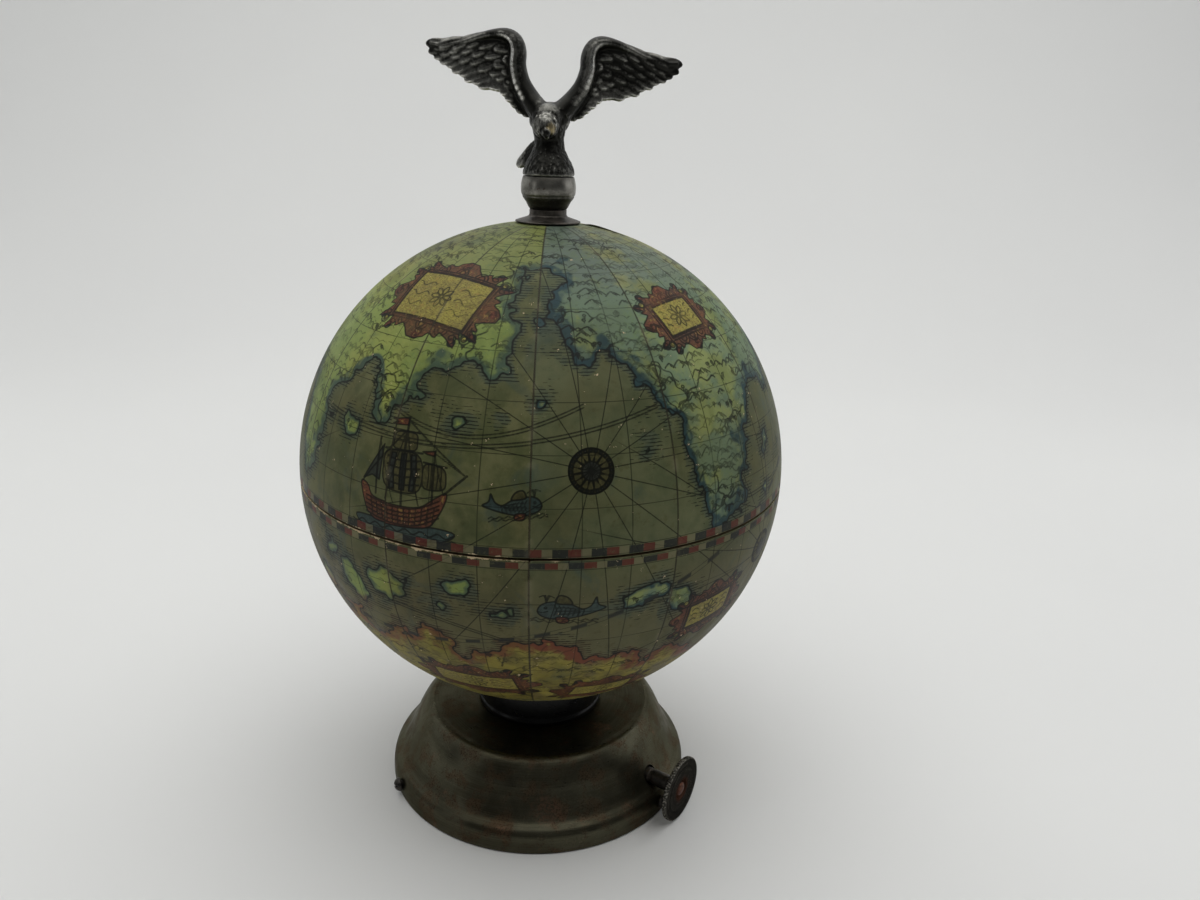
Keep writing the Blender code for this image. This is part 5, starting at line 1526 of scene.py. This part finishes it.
def build_eagle(mat):
    soup = Soup()
    body = spline([(0, 236.4), (3.4, 235.2), (4.6, 232.6), (4.7, 229.6), (5.4, 226.6), (7.0, 223.6), (8.0, 221.4), (8.35, 220.0), (8.25, 219.3)], 5)
    body[0] = (0, 236.4)
    co, q, t, _ = lathe_arrays(body + [(0, 219.3)], 64)
    soup.add(co, q, t)
    soup.ellipsoid((0, 0.6, 236.4), (6.6, 4.8, 5.2))
    soup.ellipsoid((0, -1.0, 233.4), (5.2, 4.6, 5.6))
    for s in (-1, 1):
        soup.ellipsoid((s * 3.1, 0.9, 238.4), (3.5, 4.35, 3.5), None, 28, 18)
    tilt = np.array(Matrix.Rotation(math.radians(28), 3, "X"))
    soup.ellipsoid((-0.9, -4.5, 234.7), (4.35, 5.0, 4.05), tilt, 28, 18)
    soup.ellipsoid((-0.4, -2.0, 237.2), (5.0, 3.9, 3.9), None, 28, 18)
    # brow ridges, eyes, hooked beak
    for s in (-1, 1):
        soup.tube([(s * 3.1 - 0.8, -5.0, 236.7), (s * 2.6 - 0.8, -7.0, 236.0), (s * 1.4 - 0.8, -8.6, 234.6)], [0.45, 0.65, 0.45], 10)
        soup.ellipsoid((s * 2.8 - 0.8, -7.2, 234.5), (0.7, 0.85, 0.8), None, 12, 8)
    beak = [(-0.7, -7.4, 233.2), (-0.5, -8.6, 232.3), (-0.3, -8.9, 231.4), (-0.2, -8.5, 230.5)]
    soup.tube(curve3(beak, 5), np.interp(np.linspace(0, 1, 16), [0, 0.5, 1], [2.1, 1.35, 0.5]), 12)
    # tail fan behind, to the left
    base = np.array([-1.6, 2.4, 232.2])
    for k in range(7):
        a = math.radians(-33 + 11 * k)
        direc = np.array([-0.60 * math.cos(a) - 0.12, 0.26 + 0.16 * math.sin(a), -0.84 + 0.20 * math.sin(a)])
        direc /= np.linalg.norm(direc)
        tip = base + direc * (14.6 - 0.16 * (k - 3) ** 2)
        soup.leaf(base, tip, 1.7, 0.9, normal=(0.55, 0.75, -0.3), nt=10, nw=6)
    for s in (1, -1):
        build_wing(soup, s)
    raw = soup.mesh("eagle_raw")
    ob = bpy.data.objects.new("eagle_raw", raw)
    SCENE.collection.objects.link(ob)
    mod = ob.modifiers.new("skin", "REMESH")
    mod.mode, mod.voxel_size, mod.adaptivity = "VOXEL", (0.00030), 0.0
    sm = ob.modifiers.new("soften", "SMOOTH")
    sm.factor, sm.iterations = 0.5, 2
    bpy.context.view_layer.update()
    dg = bpy.context.evaluated_depsgraph_get()
    me = bpy.data.meshes.new_from_object(ob.evaluated_get(dg))
    bpy.data.objects.remove(ob)
    bpy.data.meshes.remove(raw)
    me.name = "eagle_figure"
    # ruffled plumage on breast and skirt: uneven, drawn out downwards
    n = len(me.vertices)
    co, nor = np.zeros(n * 3), np.zeros(n * 3)
    me.vertices.foreach_get("co", co)
    me.vertices.foreach_get("normal", nor)
    co, nor = co.reshape(-1, 3) / MM, nor.reshape(-1, 3)
    plume = np.clip((241.0 - co[:, 2]) / 4, 0, 1) * np.clip((co[:, 2] - 219.9) / 1.0, 0, 1) * (np.hypot(co[:, 0], co[:, 1]) < 10.5)
    lift = np.zeros(n)
    for k in np.where(plume > 0)[0]:
        x, y, z = co[k]
        lift[k] = (noise.noise(Vector((x * 0.95, y * 0.95, z * 0.5))) * 0.20 + noise.noise(Vector((x * 2.1, y * 2.1, z * 1.3 + 9))) * 0.13)
    co = co + nor * (lift * plume)[:, None]
    me.vertices.foreach_set("co", (co * MM).astype(np.float32).ravel())
    me.update()
    me.shade_smooth()
    # hollows and ridges from the skin's own curvature, at two widths
    n = len(me.vertices)
    co, nor = np.zeros(n * 3), np.zeros(n * 3)
    me.vertices.foreach_get("co", co)
    me.vertices.foreach_get("normal", nor)
    co, nor = co.reshape(-1, 3) / MM, nor.reshape(-1, 3)
    ed = np.zeros(len(me.edges) * 2, np.int64)
    me.edges.foreach_get("vertices", ed)
    ed = ed.reshape(-1, 2)
    deg = np.bincount(ed.ravel(), minlength=n)[:, None] + 1e-9

    def blur(v, times):
        for _ in range(times):
            acc = np.zeros_like(v)
            for c in range(v.shape[1]):
                acc[:, c] = np.bincount(ed[:, 0], v[ed[:, 1], c], n) + np.bincount(ed[:, 1], v[ed[:, 0], c], n)
            v = 0.5 * v + 0.5 * acc / deg
        return v

    near = ((co - blur(co, 6)) * nor).sum(1)
    far = ((co - blur(co, 40)) * nor).sum(1)
    cav = 0.5 + np.clip(near / 0.16, -1, 1) * 0.30 + np.clip(far / 0.7, -1, 1) * 0.20
    # the arms and the ball-like crowns are partly rubbed bright and partly painted lighter; painted shade sits deep
    # under the wings and at the neck; the small hollows hold the black of the old plate
    point_attribute(me, "cavity", blur(cav[:, None], 1)[:, 0])
    brass = np.exp(-(((co - np.array([0.8, -8.4, 233.2])) / np.array([2.1, 3.0, 2.5])) ** 2).sum(1))
    # painted shade round the foot of the skirt, where it meets the ball
    skirt_foot_shade = np.clip((222.5 - co[:, 2]) / 1.5, 0, 1) * (np.hypot(co[:, 0], co[:, 1]) < 10.5)
    # painted shade on the breast and skirt below the head; the shoulders and the crown are kept clear of it
    dark = np.clip((9.5 - np.hypot(co[:, 0], co[:, 1])) / 2.5, 0, 1) * np.clip((237.0 - co[:, 2]) / 4.5, 0, 1) * np.clip((co[:, 2] - 219.9) / 1.0, 0, 1)
    crown = np.exp(-(((co - np.array([-0.9, -5.5, 235.6])) / np.array([4.6, 5.5, 3.6])) ** 2).sum(1))
    dark = dark * (1 - 0.9 * crown)
    beak_at = np.exp(-(((co - np.array([-0.4, -9.2, 231.9])) / np.array([1.9, 2.4, 1.9])) ** 2).sum(1))
    point_attribute(me, "brass", brass * (1 - 0.85 * beak_at))
    # painted shade on the tucked-down beak and on the wing tips
    dark = np.maximum(dark, 2.0 * beak_at) + 1.1 * np.clip((np.abs(co[:, 0]) - 36.0) / 3.0, 0, 1)
    # painted shade where the arms meet the shoulders, and on the right wing below its arm
    root = np.clip((np.abs(co[:, 0]) - 3.0) / 2.0, 0, 1) * np.clip((13.0 - np.abs(co[:, 0])) / 3.0, 0, 1) * np.clip((249.0 - co[:, 2]) / 5.0, 0, 1) * np.clip((co[:, 2] - 234.0) / 2.0, 0, 1)
    point_attribute(me, "painted_shade", np.maximum(np.maximum(dark * 0.8, skirt_foot_shade * 0.45), 0.75 * root) + 0.55 * np.clip((co[:, 0] - 14) / 6, 0, 1) * np.clip((256 - co[:, 2]) / 3, 0, 1) * (co[:, 0] > 0))
    # painted highlight stripes along the arms, narrow and strong on the left arm, broad and weak on the right; the
    # trailing feathers brighter, more on the right wing, partly rubbing and partly painted highlight
    rub_and_sheen = np.zeros(n)
    top = np.zeros(n)
    limb = np.zeros(n)
    for side in (1, -1):
        c = wing_pose([(x + (1.5 if side < 0 else 0.9), WING_Y - (3.7 if side < 0 else 4.1), z) for x, z in curve2(ARM[1:7], 6, False)], side)
        dist = np.min(np.linalg.norm(co[:, None, :] - c[None, ::2, :], axis=2), axis=1)
        rub_and_sheen = np.maximum(rub_and_sheen, (2.5 if side < 0 else 1.5) * np.exp(-(dist / (1.0 if side < 0 else 1.5)) ** 2))
        mid = wing_pose([(x, WING_Y - 2.0, z) for x, z in curve2(ARM[:8], 6, False)], side)
        away = np.min(np.linalg.norm(co[:, None, :] - mid[None, ::2, :], axis=2), axis=1)
        limb = np.maximum(limb, np.exp(-(away / 3.2) ** 2))
        t = wing_pose([(x, WING_Y - 1.0, z) for x, z in curve2(TRAIL, 6, False)], side)
        dist = np.min(np.linalg.norm((co[:, None, :] - t[None, ::2, :]) * np.array([1.0, 0.4, 1.0]), axis=2), axis=1)
        rub_and_sheen = np.maximum(rub_and_sheen, (0.30 if side < 0 else 0.55) * np.exp(-(dist / 3.6) ** 2) * (co[:, 0] * side > 5) * np.clip((37.0 - co[:, 0] * side) / 5.0, 0, 1))
        e = wing_pose([(x, WING_Y - 1.5, z + 0.8) for x, z in curve2(ARM[6:], 6, False)], side)
        dist = np.min(np.linalg.norm((co[:, None, :] - e[None, ::2, :]) * np.array([1.0, 0.4, 1.0]), axis=2), axis=1)
        top = np.maximum(top, np.exp(-(dist / 1.8) ** 2))
    # painted shade: darker along the top of the leading edge and along the arms
    point_attribute(me, "rub_and_sheen", rub_and_sheen - 0.40 * top - 0.80 * limb)
    return new_object("eagle_figure", me, mat, "lid", ["eagle"])


def curve3(pts, steps):
    p = np.asarray(pts, float)
    n, out = len(p), []
    for i in range(n - 1):
        g = lambda k: p[min(max(k, 0), n - 1)]
        p0, p1, p2, p3 = g(i - 1), g(i), g(i + 1), g(i + 2)
        for k in range(steps):
            t = k / steps
            out.append(0.5 * (2 * p1 + (p2 - p0) * t + (2 * p0 - 5 * p1 + 4 * p2 - p3) * t * t + (3 * p1 - p0 - 3 * p2 + p3) * t ** 3))
    out.append(p[-1])
    return np.array(out)


# ---------------------------------------------------------------------------
# stage: camera, floor, light
# ---------------------------------------------------------------------------
def build_stage():
    cam = bpy.data.cameras.new("camera")
    cam.lens, cam.sensor_width, cam.sensor_fit = 28.5, 36.0, "HORIZONTAL"
    cam.clip_start, cam.clip_end = 0.01, 20.0
    ob = bpy.data.objects.new("camera", cam)
    SCENE.collection.objects.link(ob)
    pitch, yaw, roll = 0.324108, -0.000123, math.radians(2.05)
    fwd = Vector((math.sin(yaw) * math.cos(pitch), math.cos(yaw) * math.cos(pitch), -math.sin(pitch)))
    right = Vector((math.cos(yaw), -math.sin(yaw), 0.0))
    up = right.cross(fwd)
    r2 = right * math.cos(roll) + up * math.sin(roll)
    u2 = up * math.cos(roll) - right * math.sin(roll)
    m = Matrix((r2, u2, -fwd)).transposed().to_4x4()
    m.translation = (0.019680, -0.317201, 0.233474)
    ob.matrix_world = m
    SCENE.camera = ob

    # a pale sweep: floor, a wide curve, then the wall
    ys = [-2.2, -1.2, -0.6, -0.2, 0.2, 0.5]
    prof = [(y, 0.0) for y in ys]
    for k in range(1, 17):
        a = math.pi / 2 * k / 16
        prof.append((0.5 + 0.55 * math.sin(a), 0.55 * (1 - math.cos(a))))
    prof += [(1.05, 1.2), (1.05, 2.2)]
    xs = np.linspace(-2.4, 2.4, 13)
    co = np.array([(x * 1000, y * 1000, z * 1000) for (y, z) in prof for x in xs])
    n = len(xs)
    quads = [(i * n + k, i * n + k + 1, (i + 1) * n + k + 1, (i + 1) * n + k) for i in range(len(prof) - 1) for k in range(n - 1)]
    me = mesh_from("floor_sweep", co, quads)
    floor = bpy.data.objects.new("floor_sweep", me)
    SCENE.collection.objects.link(floor)
    g = Graph("pale_sweep")
    p = g.coords()
    cl = g.noise(p, 0.0022, 3, 0.5)
    col = g.mix(cl, (0.70, 0.705, 0.70), (0.76, 0.765, 0.755))
    g.set(color=col, rough=0.9, spec=0.1)
    me.materials.append(g.mat)

    def area(name, loc, target, size, power, colour=(1, 1, 1), size_y=None):
        li = bpy.data.lights.new(name, "AREA")
        li.energy, li.color = power, colour
        li.shape, li.size = "RECTANGLE", size
        li.size_y = size_y or size
        o = bpy.data.objects.new(name, li)
        SCENE.collection.objects.link(o)
        o.location = loc
        o.rotation_euler = (Vector(target) - Vector(loc)).to_track_quat("-Z", "Y").to_euler()
        return o

    area("top_light", (0.0, 0.02, 1.3), (0, 0.0, 0.0), 1.9, 21.5, (1.0, 0.995, 0.98))
    area("left_light", (-1.15, 0.35, 0.65), (0, 0.1, 0.12), 1.0, 1.8, (0.98, 1.0, 1.0))
    area("right_light", (1.15, 0.25, 0.6), (0, 0.1, 0.12), 1.0, 2.7, (0.98, 0.99, 1.0))
    area("wall_light", (0.0, 0.1, 1.3), (0, 1.05, 0.45), 1.2, 0.3, (1.0, 1.0, 1.0))
    area("side_strip", (-0.85, -0.50, 0.48), (0, 0, 0.24), 0.14, 0.35, (1.0, 1.0, 1.0), 0.7)
    area("front_fill", (0.15, -1.3, 0.9), (0, 0, 0.12), 0.9, 0.25, (1.0, 0.98, 0.95))

    w = bpy.data.worlds.new("world")
    w.use_nodes = True
    w.node_tree.nodes["Background"].inputs[0].default_value = (0.9, 0.95, 1.0, 1.0)
    w.node_tree.nodes["Background"].inputs[1].default_value = 0.03
    SCENE.world = w
    SCENE.view_settings.view_transform = "Standard"
    SCENE.view_settings.look = "None"
    SCENE.view_settings.exposure = 0.0
    SCENE.view_settings.gamma = 1.0


# ---------------------------------------------------------------------------
# turned and small pieces
# ---------------------------------------------------------------------------
def build_base(M):
    outer = spline([(38.2, 27.9), (39.4, 28.1), (40.7, 28.2), (41.9, 27.6), (43.3, 26.1), (44.9, 23.8), (46.4, 20.9), (47.7, 17.9), (49.2, 14.7),
                    (50.5, 12.2), (51.8, 10.3), (53.1, 9.0), (54.2, 7.9), (55.0, 6.6), (55.5, 5.1), (55.75, 3.4), (55.8, 1.1)], 5, ())
    inner = [(54.2, 0.4), (54.2, 6.7), (50.4, 8.2), (48.8, 11.4), (47.5, 14.3), (46.2, 17.5), (44.9, 20.4), (43.4, 23.2), (41.6, 25.4), (39.8, 26.4), (3.4, 26.4)]
    prof = [(3.4, 27.9), (20.0, 27.9), (30.0, 27.9)] + outer + rounded([(55.8, 1.1), (55.8, 0.4), (54.2, 0.4)], 0.5, 3)[1:-1] + inner
    base = lathe("base_body", prof, M["pewter"], "base", 288, True, replaces=["base_shell"])
    e1 = Vector((math.cos(SHAFT_AZ), math.sin(SHAFT_AZ), 0))
    e2 = Vector((-math.sin(SHAFT_AZ), math.cos(SHAFT_AZ), 0))
    axis0 = e2 * SHAFT_OFF + Vector((0, 0, SHAFT_Z))
    holes = [cutter([(0, 70), (3.5, 70), (3.5, 34), (0, 34)], 48, along(e1, axis0))]
    screws = (-151.0, -34.0, 88.0)
    for az in screws:
        d = Vector((math.cos(math.radians(az)), math.sin(math.radians(az)), 0))
        holes.append(cutter([(0, 4), (1.45, 4), (1.45, -5.5), (0, -5.5)], 24, along(d, d * 56.1 + Vector((0, 0, 4.4)))))
    cut_with(base, holes)
    base.data.shade_smooth()
    base.data.set_sharp_from_angle(angle=math.radians(40))
    lathe("bottom_plate", [(0, 2.5)] + rounded([(0, 2.5), (52, 2.5), (52, 6.4), (53.4, 6.4), (53.4, 1.3), (0, 1.3)], 0.35, 3)[1:-1] + [(0, 1.3)],
          M["board"], "base", 160, replaces=["base_plate"])
    lathe("felt_disc", [(0, 1.0)] + rounded([(0, 1.0), (50, 1.0), (50, 0.0), (0, 0.0)], 0.45, 4)[1:-1] + [(0, 0.0)],
          M["felt"], "base", 160, replaces=["felt_pad"])
    head = rounded([(0, 2.2), (1.1, 2.05), (1.9, 1.5), (2.4, 0.6), (2.5, 0), (1.2, 0), (1.2, -4.2), (0, -4.6)], 0.4, 4)
    for k, az in enumerate(screws):
        d = Vector((math.cos(math.radians(az)), math.sin(math.radians(az)), 0))
        pl = along(d, d * 56.1 + Vector((0, 0, 4.4)))
        s = lathe("rim_screw_head_%d" % (k + 1), head, M["dark_steel"], "base", 40, place=pl,
                  replaces=["rim_screw_%d" % (k + 1)])
        turn = Matrix.Rotation(math.radians(25 + 50 * k), 4, "Z")
        cut_with(s, [box_cutter((8.0, 0.7, 1.6), pl @ turn @ Matrix.Translation((0, 0, 2.1)))])
        s.data.shade_smooth()
        s.data.set_sharp_from_angle(angle=math.radians(35))

    # the winding knob
    disc = [(0, 61.65)] + rounded([(0, 61.65), (11.55, 61.65), (11.55, 63.3), (3.55, 63.3), (3.3, 62.4), (0, 62.4)], [0, 0.4, 0.4, 0.25, 0.2, 0], 4)[1:-1] + [(0, 62.4)]
    pl = along(e1, axis0)
    wheel = lathe("knob_disc", disc[::-1], M["disc"], "winder", 264, place=pl, replaces=["winding_disc"])
    back = pl.inverted()
    for v in wheel.data.vertices:
        q = back @ (v.co / MM)
        rad = math.hypot(q.x, q.y)
        if rad > 10.95:
            dip = 0.34 * (1 if int(round(math.degrees(math.atan2(q.y, q.x)) * 264 / 360)) % 2 else 0) * min(1.0, (rad - 10.95) / 0.35)
            q = Vector((q.x * (rad - dip) / rad, q.y * (rad - dip) / rad, q.z))
            v.co = (pl @ q) * MM
    wheel.data.update()
    riv = [(0, 63.65), (0.9, 63.58), (1.7, 63.32), (2.3, 62.9), (2.5, 62.42), (0, 62.42)]
    lathe("knob_rivet", rounded(riv, 0.25, 3), M["copper"], "winder", 48, place=along(e1, axis0), replaces=["disc_rivet"])
    shaft = [(0, 61.62), (2.75, 61.62), (2.8, 61.1), (2.8, 52.0), (2.62, 51.8), (2.62, 50.6), (2.8, 50.4), (2.8, -23.5), (2.4, -23.9), (0, -23.9)]
    lathe("knob_shaft", rounded(shaft, 0.2, 2), M["steel_dark"], "winder", 64, place=along(e1, axis0), replaces=["winding_shaft"])

    collar = [(18, 41.5), (22.3, 42.6), (22.6, 30.5), (23.2, 29.7), (23.2, 28.2), (18, 28.2), (18, 41.5)]
    col = rounded(collar, [0, 0.6, 0.6, 0.4, 0.3, 0.2, 0], 4)
    lathe("collar_ring", col[:-1] , M["black"], "base", 160, True, replaces=["swivel_collar"])


def build_finial(M):
    fl = [(2.2, 208.75), (6.05, 208.75), (6.05, 207.1), (6.3, 206.65), (7.2, 206.25), (10.45, 205.2), (10.65, 205.05), (10.65, 204.8),
          (6.0, 205.1), (2.2, 205.25), (2.2, 208.75)]
    lathe("finial_neck", rounded(fl, [0, .1, .4, .4, .6, .15, .08, .05, .3, .1, 0], 4)[:-1], M["silver_dull"], "lid", 128, True,
          replaces=["finial_flange"])
    R, zc = 8.9, 215.5
    ball = []
    a0, a1 = math.asin((219.0 - zc) / R), math.asin((208.9 - zc) / R)
    ball.append((2.1, 219.0))
    for k in range(49):
        a = a0 + (a1 - a0) * k / 48
        r, z = R * math.cos(a), zc + R * math.sin(a)
        r -= 0.45 * math.exp(-((z - 210.9) / 1.3) ** 2)       # the lower half tapers to the neck
        r -= 0.16 * math.exp(-((z - 213.0) / 0.22) ** 2)      # the parting line of the two halves
        ball.append((r, z))
    ball += [(2.1, 208.9)]
    lathe("finial_globe", ball, M["ball"], "lid", 128, True, replaces=["finial_ball"])


def build_inside(M):
    ring = [(77.3, 126.0), (78.6, 126.0), (78.8, 125.0), (78.8, 113.4), (77.3, 113.4), (77.3, 126.0)]
    lathe("inner_rim", rounded(ring, [0, .35, .4, .3, .3, 0], 3)[:-1], M["lining"], "globe", 240, True, replaces=["rim_ring"])
    lathe("rack_floor", [(0, 89.8)] + rounded([(0, 89.8), (70.8, 89.8), (70.8, 86.8), (0, 86.8)], 0.8, 4)[1:-1] + [(0, 86.8)], M["wood"], "globe", 200,
          replaces=["tray_floor"])
    deck = lathe("rack_deck", [(27.6, 104.0)] + rounded([(27.6, 104), (76.2, 104), (76.2, 101), (27.6, 101), (27.6, 104)], [0, .8, .8, .5, 0], 4)[1:-1], M["wood"], "globe", 240, True,
                 replaces=["tray_deck"])
    holes = []
    for i in range(6):
        a = math.radians(30 + 60 * i)
        holes.append(cutter([(0, 106), (19.6, 106), (18.9, 103.3), (18.9, 99), (0, 99)], 72, Matrix.Translation((48 * math.cos(a), 48 * math.sin(a), 0))))
    cut_with(deck, holes)
    deck.data.shade_smooth()
    deck.data.set_sharp_from_angle(angle=math.radians(38))
    sock = [(27.6, 100.7), (28.9, 100.7), (28.9, 90.1), (27.6, 90.1), (27.6, 100.7)]
    lathe("bottle_socket", rounded(sock, [0, .3, .3, .3, 0], 3)[:-1], M["brass"], "globe", 144, True, replaces=["decanter_socket"])

    D = 90.1
    inner = [(0, 4.0), (21.0, 4.4), (23.6, 7.0), (23.8, 34), (21.8, 40), (16, 45.5), (9.4, 50.5), (6.6, 57), (6.6, 70)]
    outer = [(10.6, 70), (11.2, 68.6), (10.6, 67), (9, 66), (8.8, 58), (11.4, 52.6), (17.6, 47.6), (23.6, 42.2), (26.2, 34.6), (26.2, 2.4), (24.4, 0), (0, 0)]
    ip = [(0, 4.0)] + spline(inner[1:], 4, (3,))
    op = spline(outer[:-1], 4, (0, 9, 10)) + [(0, 0)]
    prof = [(r, z + D) for r, z in ip + op]
    co, quads, tris, edge = lathe_arrays(prof, 144)
    # cut flutes round the lower body of the bottle
    ang, rad = np.arctan2(co[:, 1], co[:, 0]), np.hypot(co[:, 0], co[:, 1])
    band = np.clip((co[:, 2] - D - 4) / 5, 0, 1) * np.clip((D + 32 - co[:, 2]) / 6, 0, 1) * (rad > 25.5)
    flute = 0.45 * band * np.abs(np.sin(ang * 12)) ** 0.7
    k = np.where(rad > 1, (rad - 0.45 * band + flute) / np.maximum(rad, 1e-6), 1)
    co[:, 0] *= k
    co[:, 1] *= k
    me = mesh_from("bottle", co, quads, tris)
    me.set_sharp_from_angle(angle=math.radians(50))
    new_object("bottle", me, M["glass"], "decanter", ["decanter"])
    S = 160.4
    st = [(0, 16.4), (3.4, 15.6), (6.2, 12.8), (7.2, 9), (6.2, 5.4), (4.2, 3.2), (4.6, 2.2), (9.6, 1.6), (10.2, 0.8), (9.8, 0), (6.2, 0), (5.6, -10.6), (0, -11)]
    sp = [(0, 16.4)] + spline(st, 4, (6, 7, 9, 10, 11))[1:-1] + [(0, -11)]
    co, quads, tris, edge = lathe_arrays([(max(r, 0), z + S) for r, z in sp], 96)
    ang = np.arctan2(co[:, 1], co[:, 0])
    cut = np.clip((co[:, 2] - S - 4) / 4, 0, 1) * np.clip((S + 15.5 - co[:, 2]) / 3, 0, 1)
    k = 1 - 0.05 * cut * (1 - np.abs(np.cos(ang * 4)))
    co[:, 0] *= k
    co[:, 1] *= k
    me = mesh_from("bottle_stopper", co, quads, tris)
    me.set_sharp_from_angle(angle=math.radians(50))
    new_object("bottle_stopper", me, M["glass"], "stopper", ["decanter_stopper"])
    gp = [(0, 6.6), (12.2, 6.9), (13.3, 8.4), (16.4, 45.7), (17.2, 46.0), (18.0, 45.4), (14.6, 1.0), (13.7, 0), (0, 0)]
    gp = [(0, 6.6)] + rounded(gp, [0, .9, .9, .3, .3, .3, .6, .6, 0], 4)[1:-1] + [(0, 0)]
    for i in range(6):
        a = math.radians(30 + 60 * i)
        lathe("tot_glass_%d" % (i + 1), [(r, z + 90.1) for r, z in gp], M["glass"], "glass_%d" % (i + 1), 96,
              place=Matrix.Translation((48 * math.cos(a), 48 * math.sin(a), 0)), replaces=["shot_glass_%d" % (i + 1)], sharp=50)


def dress_cad(M):
    """Frame nodes that stay as they are get a worked material and a small edge bevel."""
    kinds = {"brass": "brass", "steel": "steel", "dark_steel": "dark_steel", "dark_wood": "wood", "pewter": "pewter", "silver_cast": "silver_turned",
             "copper": "copper", "board": "board", "felt": "felt", "black_gloss": "black", "clear_glass": "glass", "map_paper": "board"}
    slot_of = {s["node"]: s["material_slot"] for s in frame["record"]["subparts"]}
    for n, o in NODES.items():
        if o.hide_render:
            continue
        mat = M[kinds.get(slot_of.get(n), "steel")]
        o.data.materials.clear()
        o.data.materials.append(mat)
        b = o.modifiers.new("soft_edges", "BEVEL")
        b.width, b.segments, b.limit_method, b.angle_limit = 0.00012, 2, "ANGLE", math.radians(40)


def main():
    build_stage()
    e1 = Vector((math.cos(SHAFT_AZ), math.sin(SHAFT_AZ), 0))
    e2 = Vector((-math.sin(SHAFT_AZ), math.cos(SHAFT_AZ), 0))
    knob = e1 * 62 + e2 * SHAFT_OFF + Vector((0, 0, SHAFT_Z))
    M = {
        "pewter": mat_pewter(), "black": mat_black_gloss(), "felt": mat_felt(), "disc": mat_disc(knob, e1), "copper": mat_copper(),
        "silver": mat_cast_silver(), "ball": mat_ball(),
        "silver_turned": mat_metal("worn_silver", (0.42, 0.40, 0.36), (0.16, 0.155, 0.14), 0.26, 0.44, 1.2, 0.93, (0.06, 0.052, 0.04), 0.7),
        "silver_dull": mat_metal("dull_silver", (0.120, 0.108, 0.094), (0.045, 0.041, 0.035), 0.36, 0.54, 1.3, 0.92, (0.07, 0.045, 0.032), 0.8),
        "brass": mat_metal("old_brass", (0.62, 0.46, 0.18), (0.40, 0.27, 0.09), 0.26, 0.42, 1.0, 1.0, (0.16, 0.10, 0.04), 0.5),
        "steel": mat_metal("bright_steel", (0.56, 0.56, 0.57), (0.36, 0.36, 0.37), 0.24, 0.38, 1.0, 1.0, (0.14, 0.12, 0.10), 0.35),
        "dark_steel": mat_metal("dark_steel", (0.070, 0.066, 0.058), (0.028, 0.026, 0.023), 0.36, 0.52, 1.4, 0.95, (0.09, 0.05, 0.03), 0.5),
        "steel_dark": mat_metal("shaft_steel", (0.060, 0.055, 0.047), (0.024, 0.022, 0.019), 0.36, 0.52, 1.2, 0.95, (0.10, 0.055, 0.03), 0.5),
        "board": mat_board("pressed_board", (0.50, 0.40, 0.26), (0.36, 0.27, 0.16)),
        "lining": mat_board("lining_paper", (0.30, 0.22, 0.13), (0.18, 0.12, 0.07)),
        "wood": mat_wood(), "glass": mat_glass(), "map": mat_map(),
    }
    build_base(M)
    build_finial(M)
    build_eagle(M["silver"])
    build_globe(M)
    build_inside(M)
    dress_cad(M)


main()
